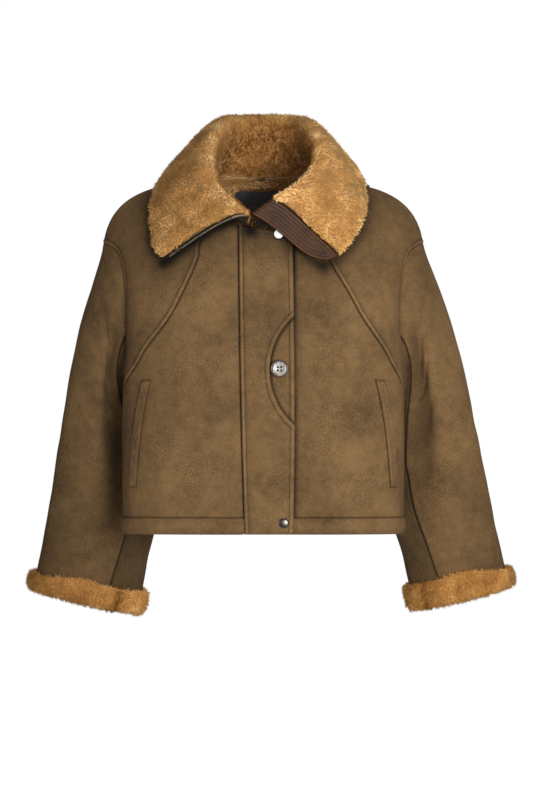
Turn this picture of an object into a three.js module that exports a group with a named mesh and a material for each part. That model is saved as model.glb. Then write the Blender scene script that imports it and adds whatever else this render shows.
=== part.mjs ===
// Short shearling-look coat, filled out as worn: suede-faced body, raglan-like front seams, fur collar and fur cuffs.
// Millimetres. +X is the wearer's left, +Y the back, +Z up. The origin lies in the neck hollow between the shoulders.
import * as THREE from "three";

// ---------------------------------------------------------------- driving sizes
const SEAM_GAP = 0.3;
const BODY_WALL = 4;
const SLEEVE_WALL = 4;
const HEM_SEAM_Z = -490;
const HEM_HEIGHT = 25;
const UNDERARM_Z = -310;
const CHEST_Y = -138;
const NECK_FRONT = { y: -132, z: -58 };
const NECK_SIDE = { x: 80, y: -18, z: 14 };
const NECK_BACK = { y: 44, z: 18 };

const SIDE_V = 0.45;
const FRONT_NECK_V = 0.8;
const BACK_NECK_V = 0.9;
const SEAM_NECK_V = 0.935;

const PLACKET = { wall: 3.4, lift: 1, gap: 1.2, under: 3 };
const MOON = { z: -271.5, halfHeight: 81, depth: 37 };
const LAP = { drop: 8.4, extra: 2.4, from: 52, to: 125 };
const BUTTON = { x: 24, z: -268.5, radius: 13.5, rim: 2.6, thick: 4.4 };
const SNAPS = { top: { x: 23, z: -68, radius: 7 }, bottom: { x: 30.5, z: -498, radius: 7.5 } };
const SNAP_THICK = 2.2;
const WELT = { width: 19, lift: 0.8, thick: 3.2 };

// Sleeve seams in turns: the front seam leaves the armhole, hides behind the body and swings forward to the cuff
const SLEEVE_SEAM = { front: 0.35, back: 0.7, crown: 0.534, swing: 0.23, most: 0.4, settled: 0.4 };
const CUFF = { fur: 12, lip: 10, reach: 32, inner: 12, clear: 1.8, lower: 0.3 };

const COLLAR = { fur: 12, gap: 0.9, shell: 2, clear: 7, turn: 10, rim: 0.62 };
const TAB = { stations: 1, thick: 5, fromLength: 2, belly: 0.22, start: 0.2, under: 1.4 };
const ZIP = { gap: 1.3, width: 5.6, thick: 1.6, from: 0.5, to: 0.97, stopFrom: 1.6, stopTo: 6.8 };
const LABEL = { halfWidth: 38, top: 6, bottom: -26, thick: 0.8, clear: 2.6 };
// The front edge of the right leaf curves up between its crest and its tip
const LEAF = { rise: 10, stations: 1.6 };

// ---------------------------------------------------------------- section tables
// Front sections from the hem up: the centre height, and the two points that pull each section round to the side
const FRONT_ROWS = [
  { v: 0.0, centreZ: -490, nearX: 125, nearY: -140, nearZ: -490, farX: 240, farY: -106, farZ: -490 },
  { v: 0.45, centreZ: -310, nearX: 125, nearY: -142, nearZ: -308, farX: 236, farY: -102, farZ: -310 },
  { v: 0.62, centreZ: -190, nearX: 112, nearY: -141, nearZ: -196, farX: 208, farY: -112, farZ: -207 },
  { v: 0.8, centreZ: -58, nearX: 85, nearY: -131, nearZ: -66, farX: 198, farY: -98, farZ: -100 },
  { v: 0.9, centreZ: -58, nearX: 108, nearY: -95, nearZ: -32, farX: 208, farY: -64, farZ: -44 },
  { v: 1.0, centreZ: -58, nearX: 160, nearY: -10, nearZ: 9, farX: 231, farY: 0, farZ: 2 },
];
const BACK_ROWS = [
  { v: 0.0, centreY: 112, centreZ: -490, nearX: 120, nearY: 112, nearZ: -490, farX: 185, farY: 55, farZ: -490 },
  { v: 0.45, centreY: 122, centreZ: -310, nearX: 120, nearY: 124, nearZ: -310, farX: 190, farY: 60, farZ: -310 },
  { v: 0.62, centreY: 113, centreZ: -170, nearX: 105, nearY: 122, nearZ: -184, farX: 190, farY: 108, farZ: -213 },
  { v: 0.8, centreY: 75, centreZ: -42, nearX: 80, nearY: 92, nearZ: -56, farX: 185, farY: 90, farZ: -92 },
  { v: 0.9, centreY: 44, centreZ: 18, nearX: 68, nearY: 62, nearZ: 0, farX: 198, farY: 60, farZ: -32 },
  { v: 1.0, centreY: 44, centreZ: 18, nearX: 160, nearY: -10, nearZ: 9, farX: 231, farY: 0, farZ: 2 },
];
// Armhole from the shoulder point down the front, under the arm and up the back
const ARMHOLE = [
  { turn: 0.0, x: 240, y: 5, z: -81 },
  { turn: 0.125, x: 216, y: -38, z: -98 },
  { turn: 0.25, x: 206, y: -57, z: -152 },
  { turn: 0.375, x: 204, y: -45, z: -235 },
  { turn: 0.5, x: 205, y: 5, z: UNDERARM_Z },
  { turn: 0.625, x: 200, y: 52, z: -240 },
  { turn: 0.75, x: 201, y: 66, z: -165 },
  { turn: 0.875, x: 214, y: 50, z: -104 },
];
// Curved front seam: how far out it lies on each side at each height
const CURVED_SEAM = [
  { z: -69, right: 88, left: 88 },
  { z: -106, right: 98, left: 98.5 },
  { z: -156, right: 120, left: 127 },
  { z: -198, right: 143.5, left: 151 },
  { z: -243, right: 178, left: 182 },
  { z: -270, right: 194, left: 197 },
];
const PLACKET_EDGES = [
  { z: -40, right: -38, left: 43.5 },
  { z: -315, right: -34, left: 47 },
  { z: -515, right: -28.5, left: 45 },
];
const POCKET_LINE = [
  { z: -284, inner: 166 },
  { z: -315, inner: 173 },
  { z: -372, inner: 182 },
  { z: -446, inner: 188.5 },
];
// Sleeve ends: centre, half width and half depth of the end, outward lean in degrees, and how far the top bows out
const SLEEVES = {
  right: { x: -268, y: 95, z: -611, halfWidth: 81, halfDepth: 46, lean: 13.2, bow: -0.06, flare: 6 },
  left: { x: 299, y: 95, z: -605, halfWidth: 74, halfDepth: 52, lean: 13.8, bow: 0.03, flare: 1 },
};
const SLEEVE_BACK_LEAN = 8;
// The underside draws in behind the hem between these parts of the sleeve's length
const SLEEVE_TUCK = { depth: 10, from: 0.6, to: 0.9, ease: 0.16 };
const SLEEVE_RUN = 455;
// Way the sleeve leaves the underarm: in behind the body, back and down
const UNDERARM_LEAVE = { x: 0.14, y: 0.6, z: -0.78 };
// Collar sections from the right front end round the back to the left front end
const COLLAR_ROWS = [
  { neckX: -23, crestX: -24, crestY: -141, crestZ: -40, edgeX: -147, edgeZ: -104 },
  { neckX: -40, crestX: -46, crestY: -131, crestZ: -22, edgeX: -157, edgeZ: -89 },
  { neckX: -60, crestX: -69, crestY: -113, crestZ: 0, edgeX: -162, edgeZ: -57 },
  { neckX: -74, crestX: -80, crestY: -85, crestZ: 36, edgeX: -163, edgeZ: -32 },
  { neckX: -79.5, crestX: -79, crestY: -50, crestZ: 68, edgeX: -159, edgeY: -30, edgeZ: -1 },
  { neckX: -79, crestX: -71, crestY: -12, crestZ: 90, edgeX: -147, edgeY: 4, edgeZ: 16 },
  { neckX: -66, crestX: -56, crestY: 26, crestZ: 102, edgeX: -112, edgeY: 62, edgeZ: 41 },
  { neckX: -38, crestX: -35, crestY: 49, crestZ: 104, edgeX: -66, edgeY: 90, edgeZ: 51 },
  { neckX: 0, crestX: 0, crestY: 57, crestZ: 105, edgeX: 0, edgeY: 97, edgeZ: 52 },
  { neckX: 38, crestX: 36, crestY: 49, crestZ: 104, edgeX: 66, edgeY: 90, edgeZ: 50 },
  { neckX: 66, crestX: 62, crestY: 24, crestZ: 100, edgeX: 115, edgeY: 60, edgeZ: 39 },
  { neckX: 79, crestX: 75, crestY: -14, crestZ: 87, edgeX: 144, edgeY: 4, edgeZ: 16 },
  { neckX: 79.5, crestX: 84, crestY: -52, crestZ: 64, edgeX: 149, edgeY: -30, edgeZ: -1 },
  { neckX: 73, crestX: 78, crestY: -88, crestZ: 32, edgeX: 147, edgeZ: -40 },
  { neckX: 52, crestX: 54, crestY: -120, crestZ: 4, edgeX: 134, edgeZ: -70 },
  { neckX: 18, crestX: 17, crestY: -140, crestZ: -20, edgeX: 110, edgeZ: -100 },
  { neckX: -10, crestX: -9, crestY: -147, crestZ: -39, edgeX: 91, edgeZ: -109 },
];

// ---------------------------------------------------------------- finishes
const FINISH = {
  suede: { color: 0x7c5f42, roughness: 0.85, metalness: 0 },
  fur: { color: 0xbf955b, roughness: 0.95, metalness: 0 },
  leather: { color: 0x4b301f, roughness: 0.5, metalness: 0 },
  tape: { color: 0x2b2420, roughness: 0.8, metalness: 0 },
  nickel: { color: 0x8a8580, roughness: 0.35, metalness: 1 },
  pearl: { color: 0xe2d6c6, roughness: 0.4, metalness: 0 },
  horn: { color: 0x3a2c22, roughness: 0.45, metalness: 0 },
  label: { color: 0x2d2d2d, roughness: 0.8, metalness: 0 },
};

// ---------------------------------------------------------------- curves
const vec = (x, y, z) => new THREE.Vector3(x, y, z);
const mirror = (p) => vec(-p.x, p.y, p.z);
const mix = (a, b, t) => a + (b - a) * t;
const clamp = (t) => Math.min(1, Math.max(0, t));
const smooth = (t) => clamp(t) ** 2 * (3 - 2 * clamp(t));

function bezier(a, b, c, d, t) {
  const s = 1 - t;
  return vec(0, 0, 0)
    .addScaledVector(a, s * s * s)
    .addScaledVector(b, 3 * s * s * t)
    .addScaledVector(c, 3 * s * t * t)
    .addScaledVector(d, t * t * t);
}

// Smooth value of one column between the rows of a table, at a place on the column named by `along`
function glide(rows, along, column, place) {
  const at = (k) => rows[k][along];
  const rising = at(1) > at(0) ? 1 : -1;
  let k = 0;
  while (k < rows.length - 2 && (place - at(k + 1)) * rising > 0) k += 1;
  const slope = (i) => {
    const low = Math.max(0, i - 1);
    const high = Math.min(rows.length - 1, i + 1);
    return (rows[high][column] - rows[low][column]) / (at(high) - at(low));
  };
  const span = at(k + 1) - at(k);
  const t = (place - at(k)) / span;
  const ends = rows[k][column] * (1 + 2 * t) * (1 - t) ** 2 + rows[k + 1][column] * t * t * (3 - 2 * t);
  return ends + span * (slope(k) * t * (1 - t) ** 2 - slope(k + 1) * t * t * (1 - t));
}

const glidePoint = (rows, along, columns, place) => vec(...columns.map((name) => glide(rows, along, name, place)));

// Neck seam from the centre front (0) over the side (0.5) to the centre back (1), on the wearer's left
function neckCurve(t) {
  const front = vec(0, NECK_FRONT.y, NECK_FRONT.z);
  const side = vec(NECK_SIDE.x, NECK_SIDE.y, NECK_SIDE.z);
  const back = vec(0, NECK_BACK.y, NECK_BACK.z);
  if (t <= 0.5) return bezier(front, vec(48, -132, -58), vec(84, -70, -8), side, t * 2);
  return bezier(side, vec(77, 20, 27), vec(46, 44, 18), back, t * 2 - 1);
}

const ARMHOLE_RING = [...ARMHOLE, { ...ARMHOLE[0], turn: 1 }, { ...ARMHOLE[1], turn: 1.125 }];
ARMHOLE_RING.unshift({ ...ARMHOLE[7], turn: -0.125 });

const armhole = (turn) => glidePoint(ARMHOLE_RING, "turn", ["x", "y", "z"], turn);

// ---------------------------------------------------------------- body surface
const NEAR = ["nearX", "nearY", "nearZ"];
const FAR = ["farX", "farY", "farZ"];

function sideEdge(v, armholeTurn) {
  if (v >= SIDE_V) return armhole(armholeTurn);
  const rise = v / SIDE_V;
  return vec(mix(204, 205, rise), 5 * rise, mix(HEM_SEAM_Z, UNDERARM_Z, rise));
}

function frontEdge(v) {
  if (v > FRONT_NECK_V) return neckCurve((0.5 * (v - FRONT_NECK_V)) / (1 - FRONT_NECK_V));
  const bow = Math.sin((Math.PI * v) / FRONT_NECK_V);
  return vec(0, mix(CHEST_Y, NECK_FRONT.y, v / FRONT_NECK_V) - 4 * bow, glide(FRONT_ROWS, "v", "centreZ", v));
}

function backEdge(v) {
  if (v > BACK_NECK_V) return neckCurve(1 - (0.5 * (v - BACK_NECK_V)) / (1 - BACK_NECK_V));
  return vec(0, glide(BACK_ROWS, "v", "centreY", v), glide(BACK_ROWS, "v", "centreZ", v));
}

const armTurn = (v) => (0.5 * (1 - v)) / (1 - SIDE_V);

// Front of the body: u runs from the centre (0) to the side or armhole (1), v from the hem (0) to the shoulder (1)
function front(u, v) {
  const side = sideEdge(v, armTurn(v));
  const point = bezier(
    frontEdge(v),
    glidePoint(FRONT_ROWS, "v", NEAR, v),
    glidePoint(FRONT_ROWS, "v", FAR, v),
    side,
    Math.abs(u),
  );
  return u < 0 ? mirror(point) : point;
}

function back(u, v) {
  const side = sideEdge(v, 1 - armTurn(v));
  const point = bezier(
    backEdge(v),
    glidePoint(BACK_ROWS, "v", NEAR, v),
    glidePoint(BACK_ROWS, "v", FAR, v),
    side,
    Math.abs(u),
  );
  return u < 0 ? mirror(point) : point;
}

// Unit normal of a surface, on the side that faces away from the given inner point
function normalOf(surface, u, v, inner) {
  const step = 0.004;
  const alongU = surface(u + step, v).sub(surface(u - step, v));
  const alongV = surface(u, v + step).sub(surface(u, v - step));
  const normal = alongU.cross(alongV).normalize();
  return normal.dot(surface(u, v).sub(inner)) < 0 ? normal.negate() : normal;
}

// Point inside the body that the walls face
const bodyCore = (p) => vec(p.x * 0.5, -10, Math.min(p.z, -110));

function bodyNormal(surface, u, v) {
  const inU = Math.sign(u || 1) * Math.min(0.99, Math.max(0.01, Math.abs(u)));
  const inV = Math.min(0.99, Math.max(0.01, v));
  return normalOf(surface, inU, inV, bodyCore(surface(inU, inV)));
}

// Point under the outer face by `depth`, measured square to the cloth and taken towards the core
function bodyInner(surface, u, v, depth) {
  const point = surface(u, v);
  const inward = bodyCore(point).sub(point).normalize();
  const square = Math.max(0.6, -inward.dot(bodyNormal(surface, u, v)));
  return point.addScaledVector(inward, depth / square);
}

// Place (u, v) on the front where it shows at x and z, found by Newton's method
function frontPlace(x, z) {
  let u = Math.min(0.9, Math.abs(x) / 230);
  let v = clamp(z < UNDERARM_Z ? mix(0, 0.45, (z + 490) / 180) : mix(0.45, 0.85, (z + 310) / 240));
  const step = 0.001;
  for (let round = 0; round < 14; round += 1) {
    const p = front(u, v);
    const du = front(u + step, v).sub(p).divideScalar(step);
    const dv = front(u, v + step).sub(p).divideScalar(step);
    const det = du.x * dv.z - dv.x * du.z;
    const missX = Math.abs(x) - p.x;
    const missZ = z - p.z;
    u += (missX * dv.z - missZ * dv.x) / det;
    v = Math.min(0.995, Math.max(-0.15, v + (missZ * du.x - missX * du.z) / det));
    u = Math.min(0.97, Math.max(0, u));
  }
  return { u: x < 0 ? -u : u, v };
}

function onFront(x, z, lift) {
  const { u, v } = frontPlace(x, z);
  return front(u, v).addScaledVector(bodyNormal(front, u, v), lift);
}

// ---------------------------------------------------------------- solids from grids
function meshFrom(name, finish, positions, triangles) {
  const geometry = new THREE.BufferGeometry();
  geometry.setAttribute("position", new THREE.Float32BufferAttribute(positions.flatMap((p) => [p.x, p.y, p.z]), 3));
  geometry.setIndex(facingOut(positions, triangles));
  geometry.computeVertexNormals();
  const mesh = new THREE.Mesh(geometry, new THREE.MeshStandardMaterial(FINISH[finish]));
  mesh.name = name;
  return mesh;
}

function facingOut(positions, triangles) {
  let volume = 0;
  for (let k = 0; k < triangles.length; k += 3) {
    const [a, b, c] = [0, 1, 2].map((corner) => positions[triangles[k + corner]]);
    volume += a.dot(b.clone().cross(c));
  }
  if (volume > 0) return triangles;
  return triangles.map((_, k) => triangles[k - (k % 3) + [0, 2, 1][k % 3]]);
}

// Wall between two faces given over the same grid of places
function wall(name, finish, acrossPlaces, upPlaces, outer, inner) {
  const positions = [];
  const triangles = [];
  const columns = acrossPlaces.length;
  const rows = upPlaces.length;
  for (const face of [outer, inner]) {
    for (const b of upPlaces) for (const a of acrossPlaces) positions.push(face(a, b));
  }
  const at = (i, j, side) => side * columns * rows + j * columns + i;
  const quad = (a, b, c, d) => triangles.push(a, b, c, a, c, d);
  for (let j = 0; j < rows - 1; j += 1) {
    for (let i = 0; i < columns - 1; i += 1) {
      quad(at(i, j, 0), at(i + 1, j, 0), at(i + 1, j + 1, 0), at(i, j + 1, 0));
      quad(at(i, j, 1), at(i, j + 1, 1), at(i + 1, j + 1, 1), at(i + 1, j, 1));
    }
  }
  for (let i = 0; i < columns - 1; i += 1) {
    quad(at(i, 0, 0), at(i, 0, 1), at(i + 1, 0, 1), at(i + 1, 0, 0));
    quad(at(i, rows - 1, 0), at(i + 1, rows - 1, 0), at(i + 1, rows - 1, 1), at(i, rows - 1, 1));
  }
  for (let j = 0; j < rows - 1; j += 1) {
    quad(at(0, j, 0), at(0, j + 1, 0), at(0, j + 1, 1), at(0, j, 1));
    quad(at(columns - 1, j, 0), at(columns - 1, j, 1), at(columns - 1, j + 1, 1), at(columns - 1, j + 1, 0));
  }
  return meshFrom(name, finish, positions, triangles);
}

// Band with a closed profile carried along a path; `place(k, corner)` gives each corner of section k
function band(name, finish, sections, profile, place, closed) {
  const positions = [];
  const triangles = [];
  const corners = profile.length;
  for (let k = 0; k < sections; k += 1) for (const corner of profile) positions.push(place(k, corner));
  const lastSpan = closed ? sections : sections - 1;
  for (let k = 0; k < lastSpan; k += 1) {
    const next = ((k + 1) % sections) * corners;
    for (let c = 0; c < corners; c += 1) {
      const d = (c + 1) % corners;
      triangles.push(k * corners + c, next + c, next + d, k * corners + c, next + d, k * corners + d);
    }
  }
  if (!closed) {
    const flat = profile.map(([a, b]) => new THREE.Vector2(a, b));
    const rightHanded = THREE.ShapeUtils.area(flat) > 0;
    const end = (sections - 1) * corners;
    for (const [a, b, c] of THREE.ShapeUtils.triangulateShape(flat, [])) {
      const same = THREE.ShapeUtils.area([flat[a], flat[b], flat[c]]) > 0 === rightHanded;
      const [first, second] = same ? [b, c] : [c, b];
      triangles.push(a, first, second, end + a, end + second, end + first);
    }
  }
  return meshFrom(name, finish, positions, triangles);
}

const steps = (count, from = 0, to = 1) => Array.from({ length: count + 1 }, (_, k) => mix(from, to, k / count));

// ---------------------------------------------------------------- body panels
const COLUMNS = 8;
const SIDE_ROWS = 4;
const ARM_ROWS = 10;
const TRIM = 0.0009;

// Curved seam as places on the front: from the neck to the underarm
const curvedSeams = Object.fromEntries(
  ["right", "left"].map((side) => {
    const sign = side === "right" ? -1 : 1;
    const shown = CURVED_SEAM.map((row) => {
      const place = frontPlace(sign * row[side], row.z);
      return { u: Math.abs(place.u), v: place.v };
    });
    const rows = [{ u: 0, v: SEAM_NECK_V }, ...shown, { u: 1, v: SIDE_V }];
    return [side, rows.map((row, k) => ({ ...row, along: k / (rows.length - 1) }))];
  }),
);

function seamPlace(side, a) {
  const rows = curvedSeams[side];
  return { u: clamp(glide(rows, "along", "u", a)), v: glide(rows, "along", "v", a) };
}

const placketEdge = (side, z) => glide(PLACKET_EDGES, "z", side, z);

// u on the front at row v where the placket's edge runs, or 0 above the neck corner
function innerPlace(side, v) {
  const gap = side === "right" ? SEAM_GAP : -20;
  const reach = (z) => Math.abs(placketEdge(side, z)) + gap;
  let low = 0;
  let high = 0.6;
  if (frontEdge(v).x > reach(frontEdge(v).z)) return 0;
  for (let round = 0; round < 24; round += 1) {
    const middle = (low + high) / 2;
    const p = front(middle, v);
    if (p.x < reach(p.z)) low = middle;
    else high = middle;
  }
  return low;
}

// The left front dips under the placket and comes up level with the body further out
const lapDrop = (x) => LAP.drop * (1 - smooth((x - LAP.from) / (LAP.to - LAP.from)));

function bodyPanel(name, sign, surface, across, up, placeAt, dropAt) {
  const face = (depth) => (a, b) => {
    const { u, v } = placeAt(a, b);
    const drop = dropAt(surface(u, v).x);
    const point = bodyInner(surface, u, v, depth + drop);
    return sign < 0 ? mirror(point) : point;
  };
  return wall(name, "suede", across, up, face(0), face(BODY_WALL));
}

function frontPanel(side) {
  const sign = side === "right" ? -1 : 1;
  const placeAt = (a, b) => {
    const seam = seamPlace(side, a);
    const inner = innerPlace(side, SEAM_NECK_V * b);
    return { u: Math.min(1 - TRIM, inner + (1 - inner) * seam.u), v: seam.v * b };
  };
  const drop = side === "left" ? lapDrop : () => 0;
  const rows = steps(SIDE_ROWS, 0, 1 - TRIM);
  return bodyPanel(`front_${side}`, sign, front, steps(COLUMNS), rows, placeAt, drop);
}

function shoulderPanel(side) {
  const sign = side === "right" ? -1 : 1;
  const placeAt = (a, b) => {
    const seam = seamPlace(side, a);
    return { u: Math.min(1 - TRIM, seam.u), v: seam.v + (1 - seam.v) * b };
  };
  const drop = side === "left" ? lapDrop : () => 0;
  const rows = steps(ARM_ROWS, TRIM, 1 - 2 * TRIM);
  return bodyPanel(`shoulder_${side}`, sign, front, steps(COLUMNS), rows, placeAt, drop);
}

// Columns of the back: those over the neck run up to the neck seam, the rest up to the shoulder seam
const NECK_SHARE = 0.3;

function backPlace(a, b) {
  const across = Math.abs(a);
  const overNeck = across < NECK_SHARE;
  const onSeam = seamPlace("right", (across - NECK_SHARE) / (1 - NECK_SHARE)).u;
  const topU = overNeck ? 0 : onSeam;
  const topV = overNeck ? mix(BACK_NECK_V, 1, across / NECK_SHARE) : 1;
  const u = Math.min(1 - TRIM, mix(across, topU, b));
  return { u: a < 0 ? -u : u, v: topV * b };
}

function backPanel() {
  const half = [...steps(4, 0, NECK_SHARE).slice(0, -1), ...steps(COLUMNS, NECK_SHARE, 1)];
  const across = [...half.slice(1).map((a) => -a).reverse(), ...half];
  const up = [...steps(SIDE_ROWS, 0, SIDE_V).slice(0, -1), ...steps(ARM_ROWS, SIDE_V, 1 - TRIM)];
  const face = (depth) => (a, b) => {
    const { u, v } = backPlace(a, b);
    return a < 0 ? mirror(bodyInner(back, -u, v, depth)) : bodyInner(back, u, v, depth);
  };
  return wall("back", "suede", across, up, face(0), face(BODY_WALL));
}

// ---------------------------------------------------------------- placket and closures
const PLACKET_TOP = { z: -56, fall: 12 };
const placketTopAt = (x) => PLACKET_TOP.z - PLACKET_TOP.fall * clamp((x + 38) / 80);

function moonCut(z) {
  const radius = (MOON.halfHeight ** 2 + MOON.depth ** 2) / (2 * MOON.depth);
  const off = Math.abs(z - MOON.z);
  return off >= MOON.halfHeight ? 0 : Math.sqrt(radius ** 2 - off ** 2) - (radius - MOON.depth);
}

function placketStrip(name, leftEdgeAt, rightEdgeAt, bottom, lift, thick) {
  const heights = [...steps(3, 1, 0.72), ...steps(10, 0.7, 0.34), 0.15, 0];
  const face = (height) => (a, b) => {
    const level = mix(bottom, PLACKET_TOP.z, b);
    const x = mix(rightEdgeAt(level), leftEdgeAt(level), a);
    const z = Math.min(level, level + (placketTopAt(x) - PLACKET_TOP.z) * smooth((b - 0.8) / 0.2));
    return onFront(x, z, height);
  };
  return wall(name, "suede", steps(3), heights, face(lift), face(lift - thick));
}

function placket() {
  const bottom = HEM_SEAM_Z - HEM_HEIGHT;
  const left = (z) => placketEdge("left", z) - moonCut(z);
  const right = (z) => placketEdge("right", z) + SEAM_GAP;
  return placketStrip("placket", left, right, bottom, PLACKET.lift, PLACKET.wall);
}

function placketUnder() {
  const bottom = HEM_SEAM_Z - HEM_HEIGHT + 2;
  const left = (z) => placketEdge("left", z);
  const right = (z) => placketEdge("right", z) + 18;
  const lift = PLACKET.lift - PLACKET.wall - PLACKET.gap;
  return placketStrip("placket_under", left, right, bottom, lift, PLACKET.under);
}

// Disc or ring lathed about its own axis and turned to face out of the front
function lathed(name, finish, profile, x, z, lift) {
  const geometry = new THREE.LatheGeometry(profile.map(([r, h]) => new THREE.Vector2(r, h)), 20);
  const mesh = new THREE.Mesh(geometry, new THREE.MeshStandardMaterial(FINISH[finish]));
  const { u, v } = frontPlace(x, z);
  mesh.quaternion.setFromUnitVectors(vec(0, 1, 0), bodyNormal(front, u, v));
  mesh.position.copy(onFront(x, z, lift));
  mesh.name = name;
  return mesh;
}

function buttonParts() {
  const seat = PLACKET.lift - PLACKET.wall;
  const { radius, rim, thick } = BUTTON;
  const ring = [
    [radius - rim, 0],
    [radius, 0],
    [radius, thick - 1],
    [radius - 1, thick],
    [radius - rim, thick],
    [radius - rim, 0],
  ];
  const disc = [
    [0, 0],
    [radius - rim - SEAM_GAP, 0],
    [radius - rim - SEAM_GAP, thick - 1.2],
    [radius - rim - 3.4, thick - 1.9],
    [0, thick - 2.3],
  ];
  return [
    lathed("button_rim", "horn", ring, BUTTON.x, BUTTON.z, seat),
    lathed("button_disc", "pearl", disc, BUTTON.x, BUTTON.z, seat),
  ];
}

function snap(name, spot) {
  const r = spot.radius;
  const cap = [
    [0, 0],
    [r - 0.6, 0],
    [r, 0.7],
    [r - 0.5, 1.5],
    [r * 0.6, SNAP_THICK],
    [0, SNAP_THICK],
  ];
  return lathed(name, "nickel", cap, spot.x, spot.z, PLACKET.lift + SEAM_GAP);
}

function pocketWelt(side) {
  const sign = side === "right" ? -1 : 1;
  const face = (lift) => (a, b) => {
    const row = mix(POCKET_LINE[0].z, POCKET_LINE[3].z, b);
    const place = frontPlace(glide(POCKET_LINE, "z", "inner", row), row);
    const stretch = front(place.u + 0.01, place.v).distanceTo(front(place.u, place.v)) / 0.01;
    const u = place.u + (a * WELT.width) / stretch;
    const point = front(u, place.v).addScaledVector(bodyNormal(front, u, place.v), lift);
    return sign < 0 ? mirror(point) : point;
  };
  return wall(`pocket_welt_${side}`, "suede", steps(3), steps(9), face(WELT.lift + WELT.thick), face(WELT.lift));
}

// ---------------------------------------------------------------- hem band
const HEM_PROFILE = [
  [1, 0],
  [2.8, -5],
  [3, -17],
  [1, -23],
  [-3, -25],
  [-6, -23],
  [-7, -12],
  [-5, 0],
];

function hemBand(name, surface, fromU, toU, dropAt, count) {
  const place = (k, [out, fall]) => {
    const u = mix(fromU, toU, k / count);
    const point = surface(u, 0);
    const inward = bodyCore(point).sub(point).setZ(0).normalize();
    const away = out - dropAt(Math.abs(point.x));
    return point.addScaledVector(inward, -away).setZ(HEM_SEAM_Z - SEAM_GAP + fall);
  };
  return band(name, "suede", count + 1, HEM_PROFILE, place, false);
}

function hemBands() {
  const clearSide = 1 - 0.0012;
  const rightStart = frontPlace(placketEdge("right", -500) - SEAM_GAP, -489).u;
  const leftStart = frontPlace(placketEdge("left", -500) - 14, -489).u;
  const level = () => 0;
  const underPlacket = (x) => lapDrop(x) + LAP.extra * (1 - smooth((x - LAP.from) / 30));
  return [
    hemBand("hem_right", front, -Math.abs(rightStart), -clearSide, level, 10),
    hemBand("hem_left", front, leftStart, clearSide, underPlacket, 10),
    hemBand("hem_back", back, -clearSide, clearSide, level, 16),
  ];
}

// ---------------------------------------------------------------- sleeves
const ARMHOLE_CORE = vec(250, 5, -196);

function cuffFrame(side) {
  const end = SLEEVES[side];
  const lean = THREE.MathUtils.degToRad(end.lean);
  const backLean = THREE.MathUtils.degToRad(SLEEVE_BACK_LEAN);
  const along = vec(Math.sin(lean), Math.tan(backLean), -Math.cos(lean)).normalize();
  const outward = vec(Math.cos(lean), 0, Math.sin(lean));
  const forward = outward.clone().cross(along).normalize();
  if (forward.y > 0) forward.negate();
  return { centre: vec(Math.abs(end.x), end.y, end.z), along, outward, forward, ...end };
}

const frames = { right: cuffFrame("right"), left: cuffFrame("left") };

// Sleeve surface on the wearer's left: turn 0 outside, 0.25 front, 0.5 inside; w from the armhole (0) to the end (1)
function sleeve(side, turn, w) {
  const frame = frames[side];
  const angle = turn * 2 * Math.PI;
  const start = armhole(((turn % 1) + 1) % 1);
  const fan = Math.abs(Math.sin(angle));
  const top = smooth(0.5 + 0.5 * Math.cos(angle));
  const under = smooth(-Math.cos(angle)) ** 2;
  const leave = frame.along
    .clone()
    .addScaledVector(vec(1, 0, 0), fan + frame.bow * top)
    .lerp(UNDERARM_LEAVE, under)
    .normalize();
  const pull = mix(mix(130, 170, top), 95, fan);
  const end = frame.centre
    .clone()
    .addScaledVector(frame.outward, Math.cos(angle) * frame.halfWidth)
    .addScaledVector(frame.forward, Math.sin(angle) * frame.halfDepth);
  const before = end.clone().addScaledVector(frame.along, mix(-170, -250, under));
  before.x += frame.flare * top;
  const bump = smooth((w - SLEEVE_TUCK.from) / SLEEVE_TUCK.ease) * smooth((SLEEVE_TUCK.to - w) / SLEEVE_TUCK.ease);
  const point = bezier(start, start.clone().addScaledVector(leave, pull), before, end, w);
  return point.add(vec(-SLEEVE_TUCK.depth * under * bump, 0, 0));
}

function sleeveCore(side, w) {
  const { centre, along } = frames[side];
  const leaving = ARMHOLE_CORE.clone().addScaledVector(along, 150);
  const arriving = centre.clone().addScaledVector(along, -170);
  return bezier(ARMHOLE_CORE, leaving, arriving, centre, w);
}

function sleeveInner(side, turn, w, depth) {
  const point = sleeve(side, turn, w);
  const core = sleeveCore(side, w);
  const surface = (a, b) => sleeve(side, a, b);
  const normal = normalOf(surface, turn, Math.min(0.99, Math.max(0.01, w)), core);
  const atShoulder = smooth(0.2 + Math.cos(turn * 2 * Math.PI)) * (1 - smooth(w / 0.12));
  const own = core.sub(point).normalize();
  const shared = bodyCore(point).sub(point).normalize();
  const inward = own.lerp(shared, atShoulder).normalize();
  return point.addScaledVector(inward, depth / Math.max(0.6, -inward.dot(normal)));
}

const SLEEVE_ROWS = 8;

function frontSeamTurn(w) {
  const swung = Math.min(SLEEVE_SEAM.most, SLEEVE_SEAM.crown - SLEEVE_SEAM.swing * w);
  return mix(SLEEVE_SEAM.front, swung, smooth(w / SLEEVE_SEAM.settled));
}

function sleevePanel(name, side, fromTurn, toTurn) {
  const sign = side === "right" ? -1 : 1;
  const slit = 0.0006;
  const face = (depth) => (across, w) => {
    const turn = mix(fromTurn(w) + slit, toTurn(w) - slit, across);
    const point = sleeveInner(side, turn, w, depth);
    return sign < 0 ? mirror(point) : point;
  };
  const columns = Math.round((toTurn(0) - fromTurn(0)) * 2 * ARM_ROWS);
  return wall(name, "suede", steps(columns, 0, 1), steps(SLEEVE_ROWS, 0.0012, 1), face(0), face(SLEEVE_WALL));
}

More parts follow.
